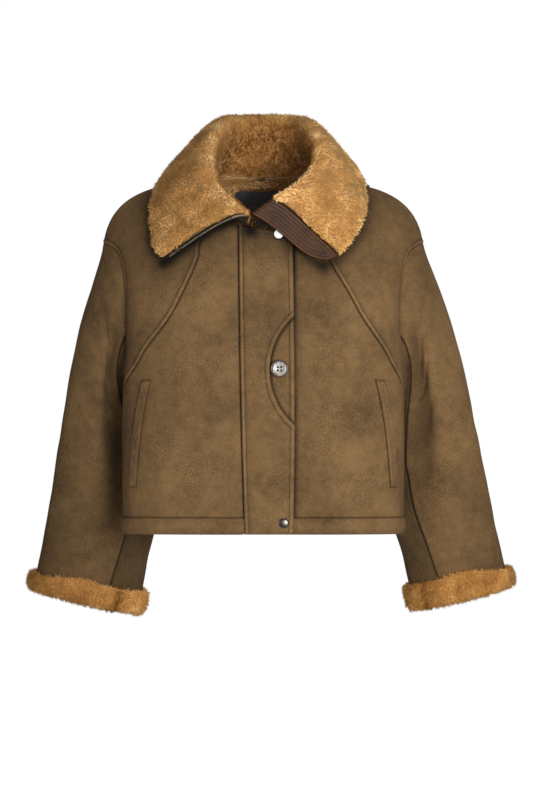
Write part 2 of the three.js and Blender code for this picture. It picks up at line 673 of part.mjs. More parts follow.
function sleeveParts(side) {
  return [
    sleevePanel(`sleeve_upper_${side}`, side, () => SLEEVE_SEAM.back - 1, frontSeamTurn),
    sleevePanel(`sleeve_under_${side}`, side, frontSeamTurn, () => SLEEVE_SEAM.back),
  ];
}

// Turned-back cuff: a hooked ring of pile round the sleeve end
function cuff(side) {
  const { fur, lip, reach, inner } = CUFF;
  const under = -SLEEVE_WALL - 1.4;
  const profile = [
    [CUFF.clear, -SEAM_GAP],
    [CUFF.clear, reach - 3],
    [4, reach],
    [fur - 4, reach - 3],
    [fur, reach - 14],
    [fur, 2],
    [fur - 4, -lip + 3],
    [0, -lip],
    [under - 6, -lip + 2],
    [under - 9, 2],
    [under - 6, inner],
    [under - 0.2, inner],
    [under - 0.2, -SEAM_GAP],
  ];
  const count = 2 * ARM_ROWS;
  const { along, outward, forward, halfWidth, halfDepth } = frames[side];
  const place = (k, [out, up]) => {
    const angle = (k / count) * 2 * Math.PI;
    const away = outward
      .clone()
      .multiplyScalar(Math.cos(angle) / halfWidth)
      .addScaledVector(forward, Math.sin(angle) / halfDepth)
      .normalize();
    const inside = smooth(-Math.cos(angle));
    const rise = (Math.max(0, up) / SLEEVE_RUN) * (1 - CUFF.lower * inside);
    const skin = sleeve(side, k / count, 1 - rise);
    const base = up > 0 ? skin : sleeve(side, k / count, 1).addScaledVector(along, -up);
    const point = base.addScaledVector(away, out);
    return side === "right" ? mirror(point) : point;
  };
  return band(`cuff_${side}`, "fur", count, profile, place, true);
}

// ---------------------------------------------------------------- collar
const collarRows = COLLAR_ROWS.map((row, k) => {
  const edge = onFrontOr(row);
  const neck = neckAt(row.neckX, row.crestY);
  return {
    station: k,
    neckX: neck.x,
    neckY: neck.y,
    neckZ: neck.z,
    crestX: row.crestX,
    crestY: row.crestY,
    crestZ: row.crestZ,
    edgeX: edge.x,
    edgeY: edge.y,
    edgeZ: edge.z,
  };
});

function onFrontOr(row) {
  return row.edgeY === undefined ? onFront(row.edgeX, row.edgeZ, COLLAR.clear) : vec(row.edgeX, row.edgeY, row.edgeZ);
}

// Neck seam point at x, on the front half of the neck where the crest above it is in front
function neckAt(x, crestY) {
  const inFront = crestY < -30;
  let low = inFront ? 0 : 0.5;
  let high = inFront ? 0.5 : 1;
  for (let round = 0; round < 24; round += 1) {
    const middle = (low + high) / 2;
    const short = neckCurve(middle).x < Math.abs(x);
    if (short === inFront) low = middle;
    else high = middle;
  }
  const point = neckCurve(low);
  point.z += 0.6;
  return x < 0 ? mirror(point) : point;
}

// Reference line of the collar, between shell and pile: s from the neck seam (0) over the crest to the edge (1)
const CREST_S = 0.4;

function collarLine(station, s) {
  const neck = glidePoint(collarRows, "station", ["neckX", "neckY", "neckZ"], station);
  const crest = glidePoint(collarRows, "station", ["crestX", "crestY", "crestZ"], station);
  const edge = glidePoint(collarRows, "station", ["edgeX", "edgeY", "edgeZ"], station);
  const out = edge.clone().sub(crest).setZ(0).normalize();
  const rise = crest.distanceTo(neck);
  const turn = Math.min(COLLAR.turn, rise * 0.4);
  if (s < CREST_S) {
    const up = crest.clone().sub(neck).multiplyScalar(0.35);
    return bezier(neck, neck.clone().add(up), crest.clone().addScaledVector(out, -turn), crest, s / CREST_S);
  }
  const fall = edge.distanceTo(crest);
  const middle = crest.clone().lerp(edge, 0.62).addScaledVector(vec(0, 0, 1), fall * -0.02);
  const t = (s - CREST_S) / (1 - CREST_S);
  const bend = LEAF.rise * Math.sin(Math.PI * Math.min(1, t)) * (1 - smooth(station / LEAF.stations));
  const falling = bezier(crest, crest.clone().addScaledVector(out, fall * 0.12), middle, edge, t);
  return falling.addScaledVector(vec(0, 0, 1), bend);
}

function collarPoint(station, s, height) {
  const step = 0.01;
  const last = collarRows.length - 1;
  const inS = Math.min(0.985, Math.max(0.015, s));
  const inStation = Math.min(last - 0.02, Math.max(0.02, station));
  const alongS = collarLine(inStation, inS + step).sub(collarLine(inStation, inS - step));
  const alongC = collarLine(inStation + step, inS).sub(collarLine(inStation - step, inS));
  const normal = alongC.cross(alongS).normalize();
  return collarLine(station, s).addScaledVector(normal, height);
}

const COLLAR_LENGTHS = [...steps(4, 0, CREST_S).slice(0, -1), ...steps(6, CREST_S, 1)];

const COLLAR_SPAN = collarRows.length - 1;
const collarStations = (from, to) => steps(2 * (to - from), from, to);

function collarWall(name, finish, stations, lengths, topAt, bottom) {
  const outer = (c, s) => collarPoint(c, s, topAt(s));
  const inner = (c, s) => collarPoint(c, s, bottom);
  return wall(name, finish, stations, lengths, outer, inner);
}

function collarFur() {
  const stations = collarStations(0, COLLAR_SPAN - TAB.stations);
  stations[stations.length - 1] -= 0.03;
  const reach = (s) => COLLAR.gap + COLLAR.fur * (1 - (1 - COLLAR.rim) * smooth((s - 0.86) / 0.14));
  return collarWall("collar_fur", "fur", stations, COLLAR_LENGTHS, reach, COLLAR.gap);
}

function collarShell() {
  return collarWall("collar_shell", "suede", collarStations(0, COLLAR_SPAN), COLLAR_LENGTHS, () => 0, -COLLAR.shell);
}

function collarTab() {
  const stations = collarStations(COLLAR_SPAN - TAB.stations, COLLAR_SPAN);
  const lengths = COLLAR_LENGTHS.slice(TAB.fromLength);
  const first = COLLAR_SPAN - TAB.stations;
  const bellied = (c, s) => first + (c - first) * (1 + TAB.belly * Math.sin((Math.PI * (s - TAB.start)) / (1 - TAB.start)));
  const outer = (c, s) => collarPoint(bellied(c, s), s, COLLAR.gap + TAB.thick);
  const inner = (c, s) => collarPoint(bellied(c, s), s, TAB.under);
  return wall("collar_tab", "leather", stations, lengths, outer, inner);
}

// Zip tape along the front edge of the right leaf, standing out from under the pile
function zipTape() {
  const count = 12;
  const profile = [
    [ZIP.gap, 0.6],
    [ZIP.width, 0.6],
    [ZIP.width, 0.6 - ZIP.thick],
    [ZIP.gap, 0.6 - ZIP.thick],
  ];
  const place = (k, [out, height]) => {
    const s = mix(ZIP.from, ZIP.to, k / count);
    const away = collarLine(0, s).sub(collarLine(0.15, s)).normalize();
    return collarPoint(0, s, height).addScaledVector(away, out);
  };
  return band("zip_tape", "tape", count + 1, profile, place, false);
}

function zipStop() {
  const profile = [
    [ZIP.stopFrom, 3.2],
    [ZIP.stopTo, 3.2],
    [ZIP.stopTo, 1],
    [ZIP.stopFrom, 1],
  ];
  const place = (k, [out, height]) => {
    const s = mix(0.88, 0.95, k);
    const away = collarLine(0, s).sub(collarLine(0.15, s)).normalize();
    return collarPoint(0, s, height).addScaledVector(away, out);
  };
  return band("zip_stop", "nickel", 2, profile, place, false);
}

// ---------------------------------------------------------------- neck label
function neckLabel() {
  const face = (depth) => (x, z) => {
    let low = 0.6;
    let high = BACK_NECK_V;
    for (let round = 0; round < 24; round += 1) {
      const middle = (low + high) / 2;
      if (back(0, middle).z < z) low = middle;
      else high = middle;
    }
    const u = x / (3 * glide(BACK_ROWS, "v", "nearX", low));
    return bodyInner(back, u || 0.0001, low, depth);
  };
  const depth = BODY_WALL + LABEL.clear;
  const across = steps(6, -LABEL.halfWidth, LABEL.halfWidth);
  const up = steps(4, LABEL.bottom, LABEL.top);
  return wall("neck_label", "label", across, up, face(depth), face(depth + LABEL.thick));
}

// ---------------------------------------------------------------- the coat
const coat = new THREE.Group();
coat.add(backPanel(), neckLabel());
for (const side of ["right", "left"]) {
  coat.add(frontPanel(side), shoulderPanel(side), pocketWelt(side));
  coat.add(...sleeveParts(side), cuff(side));
}
coat.add(placket(), placketUnder(), ...buttonParts());
coat.add(snap("snap_top", SNAPS.top), snap("snap_bottom", SNAPS.bottom));
coat.add(...hemBands());
coat.add(collarFur(), collarShell(), collarTab(), zipTape(), zipStop());

export default coat;
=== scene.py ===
import math

import bmesh
import bpy
import numpy as np
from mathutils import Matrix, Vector, kdtree, noise


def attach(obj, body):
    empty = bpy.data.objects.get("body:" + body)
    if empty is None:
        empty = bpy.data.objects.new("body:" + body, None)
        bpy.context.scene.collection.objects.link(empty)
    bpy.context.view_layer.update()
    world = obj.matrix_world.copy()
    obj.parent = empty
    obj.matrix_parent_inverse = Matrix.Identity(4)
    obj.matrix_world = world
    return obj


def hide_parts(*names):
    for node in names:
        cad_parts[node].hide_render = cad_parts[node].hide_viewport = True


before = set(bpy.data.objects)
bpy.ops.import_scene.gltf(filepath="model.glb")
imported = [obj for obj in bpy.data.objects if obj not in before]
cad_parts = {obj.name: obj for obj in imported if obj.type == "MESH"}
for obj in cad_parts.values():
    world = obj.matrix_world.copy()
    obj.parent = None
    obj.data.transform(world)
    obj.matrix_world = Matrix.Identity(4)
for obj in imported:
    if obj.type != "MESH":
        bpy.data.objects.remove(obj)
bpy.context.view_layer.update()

MM = 0.001
RNG = np.random.default_rng(11)

# Looks of a short shearling coat, filled out as worn. Its cloth is laid on the same curves as the solids, in
# millimetres: +X the wearer's left, +Y the back, +Z up. Each panel gets its seams, welts and creases,
# then a wall.

# ---------------------------------------------------------------- driving sizes, as on the solids
BODY_WALL = 4.0
HEM_Z = -490.0
HEM_HEIGHT = 25.0
UNDERARM_Z = -310.0
CHEST_Y = -138.0
NECK_FRONT = np.array([0.0, -132.0, -58.0])
NECK_SIDE = np.array([80.0, -18.0, 14.0])
NECK_BACK = np.array([0.0, 44.0, 18.0])
SIDE_V = 0.45
FRONT_NECK_V = 0.8
BACK_NECK_V = 0.9
SEAM_NECK_V = 0.935
TRIM = 0.0009
LAP = {"drop": 8.4, "extra": 2.4, "start": 52.0, "end": 125.0}
MOON = {"z": -271.5, "half": 81.0, "depth": 37.0, "edge": 46.5}
MOON_RADIUS = (MOON["half"] ** 2 + MOON["depth"] ** 2) / (2 * MOON["depth"])
PLACKET_TOP = {"z": -56.0, "fall": 12.0}
CREST_S = 0.4
COLLAR_SPAN = 16
LEAF = {"rise": 10.0, "stations": 1.6}
PILE_END = COLLAR_SPAN - 1
SEAM_GAP = 0.3
HALVINGS = 24
STITCH_AT = 7.0

# Front sections from the hem up: v, centre z, near x y z, far x y z
FRONT_ROWS = np.array([
    [0.00, -490, 125, -140, -490, 240, -106, -490],
    [0.45, -310, 125, -142, -308, 236, -102, -310],
    [0.62, -190, 112, -141, -196, 208, -112, -207],
    [0.80, -58, 85, -131, -66, 198, -98, -100],
    [0.90, -58, 108, -95, -32, 208, -64, -44],
    [1.00, -58, 160, -10, 9, 231, 0, 2],
], float)
# Back sections: v, centre y, centre z, near x y z, far x y z
BACK_ROWS = np.array([
    [0.00, 112, -490, 120, 112, -490, 185, 55, -490],
    [0.45, 122, -310, 120, 124, -310, 190, 60, -310],
    [0.62, 113, -170, 105, 122, -184, 190, 108, -213],
    [0.80, 75, -42, 80, 92, -56, 185, 90, -92],
    [0.90, 44, 18, 68, 62, 0, 198, 60, -32],
    [1.00, 44, 18, 160, -10, 9, 231, 0, 2],
], float)
# Armhole from the shoulder point down the front, under the arm and up the back: turn, x, y, z
ARMHOLE = np.array([
    [-0.125, 214, 50, -104],
    [0.000, 240, 5, -81],
    [0.125, 216, -38, -98],
    [0.250, 206, -57, -152],
    [0.375, 204, -45, -235],
    [0.500, 205, 5, -310],
    [0.625, 200, 52, -240],
    [0.750, 201, 66, -165],
    [0.875, 214, 50, -104],
    [1.000, 240, 5, -81],
    [1.125, 216, -38, -98],
], float)
# Curved front seam: z, how far out it lies on the right and on the left
CURVED_SEAM = [
    [-69, 88, 88],
    [-106, 98, 98.5],
    [-156, 120, 127],
    [-198, 143.5, 151],
    [-243, 178, 182],
    [-270, 194, 197],
]
# Placket edges, upwards: z, right edge, left edge
PLACKET_EDGES = np.array([[-515, -28.5, 45], [-315, -34, 47], [-40, -38, 43.5]], float)
# Pocket's inner line, upwards: z, x
POCKET_LINE = np.array([[-446, 188.5], [-372, 182], [-315, 173], [-284, 166]], float)
# Sleeve ends: centre x y z, half width, half depth, outward lean in degrees, bow, flare
SLEEVES = {
    "right": (268, 95, -611, 81, 46, 13.2, -0.06, 6),
    "left": (299, 95, -605, 74, 52, 13.8, 0.03, 1),
}
# Collar sections from the right front end round the back to the left front end:
# neck x, crest x y z, edge x z, and edge y where the edge hangs free
COLLAR_ROWS = [
    (-23, -24, -141, -40, -147, -104, None),
    (-40, -46, -131, -22, -157, -89, None),
    (-60, -69, -113, 0, -162, -57, None),
    (-74, -80, -85, 36, -163, -32, None),
    (-79.5, -79, -50, 68, -159, -1, -30),
    (-79, -71, -12, 90, -147, 16, 4),
    (-66, -56, 26, 102, -112, 41, 62),
    (-38, -35, 49, 104, -66, 51, 90),
    (0, 0, 57, 105, 0, 52, 97),
    (38, 36, 49, 104, 66, 50, 90),
    (66, 62, 24, 100, 115, 39, 60),
    (79, 75, -14, 87, 144, 16, 4),
    (79.5, 84, -52, 64, 149, -1, -30),
    (73, 78, -88, 32, 147, -40, None),
    (52, 54, -120, 4, 134, -70, None),
    (18, 17, -140, -20, 110, -100, None),
    (-10, -9, -147, -39, 91, -109, None),
]


# ---------------------------------------------------------------- curves
def smooth(t):
    t = np.clip(t, 0.0, 1.0)
    return t * t * (3.0 - 2.0 * t)


def unit(p):
    return p / np.maximum(np.linalg.norm(p, axis=-1, keepdims=True), 1e-9)


def bezier(a, b, c, d, t):
    t = np.asarray(t, float)[..., None]
    s = 1.0 - t
    return a * s**3 + 3 * b * s * s * t + 3 * c * s * t * t + d * t**3


def glide(table, place):
    """Smooth row of a table at a place along its first column."""
    place = np.asarray(place, float)
    along, values = table[:, 0], table[:, 1:]
    last = len(along) - 1
    low, high = np.maximum(np.arange(last + 1) - 1, 0), np.minimum(np.arange(last + 1) + 1, last)
    slope = (values[high] - values[low]) / (along[high] - along[low])[:, None]
    k = np.clip(np.searchsorted(along, place, side="right") - 1, 0, last - 1)
    span = (along[k + 1] - along[k])[..., None]
    t = (place - along[k])[..., None] / span
    ends = values[k] * (1 + 2 * t) * (1 - t) ** 2 + values[k + 1] * t * t * (3 - 2 * t)
    return ends + span * (slope[k] * t * (1 - t) ** 2 - slope[k + 1] * t * t * (1 - t))


def mirror(p, side):
    """Points of the wearer's left turned over for the right side."""
    return p * np.array([-1.0, 1.0, 1.0]) if side == "right" else p


def neck_curve(t):
    """Neckline of the wearer's left: 0 at the front, 0.5 at the shoulder, 1 at the back."""
    t = np.asarray(t, float)
    front_pulls = np.array([[48, -132, -58], [84, -70, -8]])
    back_pulls = np.array([[77, 20, 27], [46, 44, 18]])
    before = bezier(NECK_FRONT, *front_pulls, NECK_SIDE, np.clip(2 * t, 0, 1))
    after = bezier(NECK_SIDE, *back_pulls, NECK_BACK, np.clip(2 * t - 1, 0, 1))
    return np.where((t <= 0.5)[..., None], before, after)


# ---------------------------------------------------------------- body surface
def side_edge(v, turn):
    rise = v / SIDE_V
    below = np.stack([204 + rise, 5 * rise, HEM_Z + (UNDERARM_Z - HEM_Z) * rise], -1)
    return np.where((v >= SIDE_V)[..., None], glide(ARMHOLE, turn), below)


def arm_turn(v):
    return 0.5 * (1 - v) / (1 - SIDE_V)


def front(u, v):
    """Front of the wearer's left: u from the centre to the side, v from the hem to the shoulder."""
    u, v = np.broadcast_arrays(np.asarray(u, float), np.asarray(v, float))
    row = glide(FRONT_ROWS, v)
    low_y = CHEST_Y + (NECK_FRONT[1] - CHEST_Y) * v / FRONT_NECK_V - 4 * np.sin(np.pi * v / FRONT_NECK_V)
    low = np.stack([np.zeros_like(v), low_y, row[..., 0]], -1)
    neck = neck_curve(0.5 * np.clip(v - FRONT_NECK_V, 0, 1) / (1 - FRONT_NECK_V))
    start = np.where((v > FRONT_NECK_V)[..., None], neck, low)
    return bezier(start, row[..., 1:4], row[..., 4:7], side_edge(v, arm_turn(v)), u)


def back(u, v):
    """Back of the wearer's left: u from the centre to the side, v from the hem to the neck."""
    u, v = np.broadcast_arrays(np.asarray(u, float), np.asarray(v, float))
    row = glide(BACK_ROWS, v)
    low = np.stack([np.zeros_like(v), row[..., 0], row[..., 1]], -1)
    neck = neck_curve(1 - 0.5 * np.clip(v - BACK_NECK_V, 0, 1) / (1 - BACK_NECK_V))
    start = np.where((v > BACK_NECK_V)[..., None], neck, low)
    return bezier(start, row[..., 2:5], row[..., 5:8], side_edge(v, 1 - arm_turn(v)), u)


def body_core(p):
    return np.stack([p[..., 0] * 0.5, np.full(p.shape[:-1], -10.0), np.minimum(p[..., 2], -110.0)], -1)


def square_to(surface, u, v, core):
    """Unit normal of a surface, away from its core."""
    h = 0.004
    along_u = surface(u + h, v) - surface(u - h, v)
    along_v = surface(u, v + h) - surface(u, v - h)
    n = unit(np.cross(along_u, along_v))
    p = surface(u, v)
    return np.where((n * (p - core(p))).sum(-1, keepdims=True) < 0, -n, n)


def body_normal(surface, u, v):
    return square_to(surface, np.clip(u, 0.01, 0.99), np.clip(v, 0.01, 0.99), body_core)


def sunk(surface, u, v, depth):
    """Point under a body surface by depth, taken towards the core as on the solids."""
    p = surface(u, v)
    inward = unit(body_core(p) - p)
    square = np.maximum(0.6, -(inward * body_normal(surface, u, v)).sum(-1))
    return p + inward * (depth / square)[..., None]


def front_place(x, z):
    """Place (u, v) on the front where it shows at x and z, by Newton's method."""
    x, z = np.broadcast_arrays(np.abs(np.asarray(x, float)), np.asarray(z, float))
    u = np.minimum(0.9, x / 230)
    below = SIDE_V * (z - HEM_Z) / (UNDERARM_Z - HEM_Z)
    v = np.clip(np.where(z < UNDERARM_Z, below, SIDE_V + 0.4 * (z - UNDERARM_Z) / 240), 0, 1)
    h = 0.001
    for _ in range(14):
        p = front(u, v)
        du, dv = (front(u + h, v) - p) / h, (front(u, v + h) - p) / h
        det = du[..., 0] * dv[..., 2] - dv[..., 0] * du[..., 2]
        miss_x, miss_z = x - p[..., 0], z - p[..., 2]
        u_next = u + (miss_x * dv[..., 2] - miss_z * dv[..., 0]) / det
        v = np.clip(v + (miss_z * du[..., 0] - miss_x * du[..., 2]) / det, -0.15, 0.995)
        u = np.clip(u_next, 0, 0.97)
    return u, v


def to_side(p, x):
    """Points of the wearer's left turned over to the right where x is below zero."""
    p[..., 0] *= np.where(x < 0, -1, 1)
    return p


def on_front(x, z, lift):
    x, z = np.broadcast_arrays(np.asarray(x, float), np.asarray(z, float))
    u, v = front_place(x, z)
    lift = np.broadcast_to(np.asarray(lift, float), u.shape)
    return to_side(front(u, v) + body_normal(front, u, v) * lift[..., None], x)


# ---------------------------------------------------------------- sheets of cloth laid on a grid
def fine_ends(count, edge=0.012, tight=5):
    """Steps from 0 to 1 that are close together at both ends."""
    near = np.linspace(0, edge * tight, tight + 1)
    middle = np.linspace(edge * tight, 1 - edge * tight, count - 2 * tight + 1)
    return np.concatenate([near[:-1], middle, 1 - near[::-1][1:]])


def lay(place, across, up, core):
    """Points and outward normals of a sheet at a grid of places."""
    a, b = np.meshgrid(across, up)
    points = place(a.ravel(), b.ravel()).reshape(len(up), len(across), 3)
    n = np.cross(np.gradient(points, axis=1), np.gradient(points, axis=0))
    n = unit(n)
    if (n * (points - core(points))).sum() < 0:
        n = -n
    return points, n


def distances(line):
    """Distance run along a line at each of its points."""
    return np.concatenate([[0], np.cumsum(np.linalg.norm(np.diff(line, axis=0), axis=1))])


def read_off(at, run, values):
    """Points or directions read off at distances along a line."""
    return np.stack([np.interp(at, run, values[:, k]) for k in range(3)], 1)


def tree_of(spots):
    tree = kdtree.KDTree(len(spots))
    for k, spot in enumerate(spots):
        tree.insert(spot, k)
    tree.balance()
    return tree


def reach(points, line):
    """How far each point of a sheet lies from a line on it."""
    run = distances(line)
    at = np.linspace(0, run[-1], max(2, int(run[-1] / 0.6)))
    tree = tree_of(read_off(at, run, line))
    return np.array([tree.find(p)[2] for p in points.reshape(-1, 3)]).reshape(points.shape[:2])


def edge_line(points, edge):
    return {"left": points[:, 0], "right": points[:, -1], "low": points[0], "top": points[-1]}[edge]


def reaches(points):
    """How far each point lies from the left, right, low and top edge of its sheet."""
    return tuple(reach(points, edge_line(points, edge)) for edge in ("left", "right", "low", "top"))


def as_mesh(bm, name):
    mesh = bpy.data.meshes.new(name)
    bm.to_mesh(mesh)
    bm.free()
    return mesh


def moved_grid(name, points, around=False, along=False):
    """A grid whose corners are moved to rows of points; its last column or row may join the first."""
    rows, columns = points.shape[:2]
    across, up = columns - (not around), rows - (not along)
    bm = bmesh.new()
    bmesh.ops.create_grid(bm, x_segments=across, y_segments=up, size=0.5)
    mesh = as_mesh(bm, name)
    co = np.empty(len(mesh.vertices) * 3)
    mesh.vertices.foreach_get("co", co)
    co = co.reshape(-1, 3)
    i = np.rint((co[:, 0] + 0.5) * across).astype(int) % columns
    j = np.rint((co[:, 1] + 0.5) * up).astype(int) % rows
    mesh.vertices.foreach_set("co", (points[j, i] * MM).ravel())
    mesh.update()
    return mesh, i, j


def keep_values(mesh, label, values):
    """Numbers kept at a mesh's corners for its material to read."""
    layer = mesh.attributes.new(label, "FLOAT", "POINT")
    layer.data.foreach_set("value", np.ascontiguousarray(values, np.float32).ravel())


def grid_mesh(name, points, normals, tone=None):
    """A sheet's mesh, turned to face along its normals."""
    mesh, i, j = moved_grid(name, points)
    middle = mesh.polygons[len(mesh.polygons) // 2 + points.shape[1] // 2]
    corner = middle.vertices[0]
    if Vector(normals[j[corner], i[corner]]).dot(middle.normal) < 0:
        mesh.flip_normals()
    if tone is not None:
        keep_values(mesh, "tone", tone[j, i])
    mesh.shade_smooth()
    return mesh


def ring_mesh(name, points, around, tone=None):
    """A folded strip or a closed ring: its last row joins the first, and open ends are filled."""
    mesh, _, j = moved_grid(name, points, around, True)
    if tone is not None:
        keep_values(mesh, "tone", tone[j])
    bm = bmesh.new()
    bm.from_mesh(mesh)
    bmesh.ops.remove_doubles(bm, verts=bm.verts, dist=1e-6)
    bmesh.ops.holes_fill(bm, edges=[e for e in bm.edges if e.is_boundary], sides=0)
    bmesh.ops.recalc_face_normals(bm, faces=bm.faces)
    bm.to_mesh(mesh)
    bm.free()
    mesh.shade_smooth()
    return mesh


def new_object(name, data):
    made = bpy.data.objects.new(name, data)
    bpy.context.scene.collection.objects.link(made)
    return made


def put(name, mesh, materials, stands_for=None):
    """A piece at the origin that rides on the coat, standing for its node."""
    piece = new_object(name, mesh)
    for made in materials:
        mesh.materials.append(made)
    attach(piece, "root")
    if stands_for:
        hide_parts(stands_for)
    return piece


def give_wall(piece, wall):
    """Live thickness of a cloth, inwards from its face; its back takes the second material."""
    thick = piece.modifiers.new("Wall", "SOLIDIFY")
    thick.thickness = wall * MM
    thick.offset = -1
    thick.material_offset = 1
    return piece


# ---------------------------------------------------------------- seams, welts and creases
def bell(d, width):
    """1 on a line, dying away over the width on both sides of it."""
    return np.exp(-((d / width) ** 2))


def sink(d, depth, width):
    return -depth * bell(d, width)


def rolled(d, radius):
    """A cut edge that rolls down over its last few millimetres."""
    t = np.clip(1 - d / radius, 0, 1)
    return -radius * (1 - np.sqrt(np.maximum(0, 1 - t * t)))


def welt(d, at=STITCH_AT, rise=0.9):
    """Strip that stands up between a seam and the stitch row beside it."""
    ridge = 1.15 * rise * smooth(d / 2.0) * (1 - smooth((d - at + 1.6) / 1.6))
    return ridge + sink(d - at, 0.7, 0.9)


def line_tone(d, dark, width):
    return 1 - dark * bell(d, width)


def welt_tone(d, dark=0.6, at=STITCH_AT):
    """Dark seam, painted highlight on the ridge, dark stitch row and a soft painted shade past it."""
    # pale is a painted highlight on the ridge; shade is painted shade past the stitch row
    pale = 1 + 0.24 * bell(d - at * 0.55, 2.0)
    shade = 1 - 0.12 * smooth((d - at) / 1.5) * (1 - smooth((d - at) / 9))
    return line_tone(d, dark + 0.12, 1.4) * line_tone(d - at, 0.5, 0.9) * pale * shade


# Soft troughs and ridges on the body: x, z, turn in degrees, half length, half width, depth
FRONT_CREASES = [
    (-150, -330, 70, 60, 12, 1.6),
    (-120, -420, 82, 70, 16, 1.4),
    (-80, -250, 60, 60, 15, 1.0),
    (-70, -450, 95, 60, 18, 1.2),
    (150, -230, -62, 65, 12, 1.8),
    (158, -275, -70, 40, 8, 1.7),
    (125, -330, -78, 60, 14, 1.3),
    (90, -200, -60, 50, 14, 1.1),
    (110, -440, -88, 60, 18, 1.6),
    (70, -400, -80, 60, 16, -1.0),
    (-105, -380, 75, 60, 16, -1.1),
    (-170, -200, 40, 50, 12, 1.4),
    (175, -170, -45, 50, 12, 1.5),
]
BACK_CREASES = [
    (-120, -260, 60, 80, 16, 2.2),
    (120, -250, -60, 80, 16, 2.2),
    (-60, -380, 80, 90, 20, 1.8),
    (75, -400, -84, 90, 20, 1.9),
    (0, -300, 90, 90, 24, -1.6),
    (-150, -400, 75, 60, 14, 1.8),
    (155, -410, -76, 60, 14, 1.7),
    (0, -60, 0, 70, 14, 1.2),
    (-90, -140, 25, 60, 14, 1.3),
    (95, -150, -25, 60, 14, 1.3),
]
# Soft troughs on a sleeve: turn, w, lean, half length in turns, half width in w, depth
SLEEVE_CREASES = {
    "right": [
        (0.30, 0.22, 0.10, 0.16, 0.030, 3.2),
        (0.36, 0.34, 0.06, 0.14, 0.026, 2.6),
        (0.28, 0.47, -0.05, 0.16, 0.030, 2.2),
        (0.18, 0.60, 0.05, 0.14, 0.034, 1.5),
        (0.05, 0.72, -0.04, 0.16, 0.036, 1.3),
        (0.33, 0.83, 0.06, 0.12, 0.030, 1.7),
        (0.62, 0.30, -0.08, 0.14, 0.030, 3.0),
        (0.70, 0.45, 0.06, 0.15, 0.032, 2.4),
        (0.82, 0.60, -0.05, 0.14, 0.034, 1.8),
    ],
    "left": [
        (0.28, 0.20, 0.12, 0.16, 0.028, 3.0),
        (0.35, 0.31, 0.08, 0.13, 0.026, 2.8),
        (0.30, 0.43, -0.06, 0.15, 0.030, 2.3),
        (0.14, 0.56, 0.06, 0.15, 0.036, 1.7),
        (0.26, 0.70, -0.05, 0.15, 0.034, 1.7),
        (0.08, 0.84, 0.05, 0.13, 0.034, 1.2),
        (0.63, 0.27, -0.09, 0.14, 0.028, 3.0),
        (0.72, 0.42, 0.07, 0.15, 0.032, 2.5),
        (0.85, 0.64, -0.05, 0.15, 0.036, 1.7),
    ],
}


def body_creases(points, rows):
    """Depth of the creases at each point, seen square from the front or back."""
    total = np.zeros(points.shape[:2])
    for x, z, turn, length, width, depth in rows:
        c, s = math.cos(math.radians(turn)), math.sin(math.radians(turn))
        dx, dz = points[..., 0] - x, points[..., 2] - z
        along, off = dx * c + dz * s, -dx * s + dz * c
        off = off + 5 * np.sin(along / 23 + x)
        total -= depth * np.exp(-((along / length) ** 2) - (off / width) ** 2)
    return total


def noisy(points, size, seed):
    flat = np.asarray(points).reshape(-1, 3) / size + seed
    return np.array([noise.noise(Vector(p)) for p in flat])


def soft_swell(points, size, height, seed):
    """Gentle unevenness of cloth over the given size."""
    return height * noisy(points, size, seed).reshape(points.shape[:2])


# ---------------------------------------------------------------- materials
def srgb(*rgb):
    line = [(c / 255 / 12.92) if c / 255 <= 0.04045 else ((c / 255 + 0.055) / 1.055) ** 2.4 for c in rgb]
    return (*line, 1.0)


def node(tree, kind, inputs=None, **settings):
    made = tree.nodes.new(kind)
    for key, value in settings.items():
        setattr(made, key, value)
    for key, value in (inputs or {}).items():
        if isinstance(value, bpy.types.NodeSocket):
            tree.links.new(value, made.inputs[key])
        else:
            made.inputs[key].default_value = value
    return made


def group(name, inputs, outputs):
    tree = bpy.data.node_groups.new(name, "ShaderNodeTree")
    for label, kind, value in inputs:
        socket = tree.interface.new_socket(label, in_out="INPUT", socket_type=kind)
        socket.default_value = value
    for label, kind in outputs:
        tree.interface.new_socket(label, in_out="OUTPUT", socket_type=kind)
    return tree, tree.nodes.new("NodeGroupInput"), tree.nodes.new("NodeGroupOutput")


def noise_of(tree, place, size, detail, rough=0.5):
    values = {"Vector": place.outputs["Object"], "Scale": size, "Detail": detail, "Roughness": rough}
    return node(tree, "ShaderNodeTexNoise", values)


def math_of(tree, operation, *values):
    return node(tree, "ShaderNodeMath", dict(enumerate(values)), operation=operation).outputs[0]


def stretched(tree, value, spread, to=(0.0, 1.0)):
    """A value whose spread is stretched to another, and held at its ends."""
    limits = {"From Min": spread[0], "From Max": spread[1], "To Min": to[0], "To Max": to[1]}
    return node(tree, "ShaderNodeMapRange", {"Value": value, **limits}, clamp=True).outputs["Result"]


def times(tree, colour, factor):
    """A colour made darker or lighter by a factor."""
    return node(tree, "ShaderNodeVectorMath", {0: colour, "Scale": factor}, operation="SCALE").outputs[0]


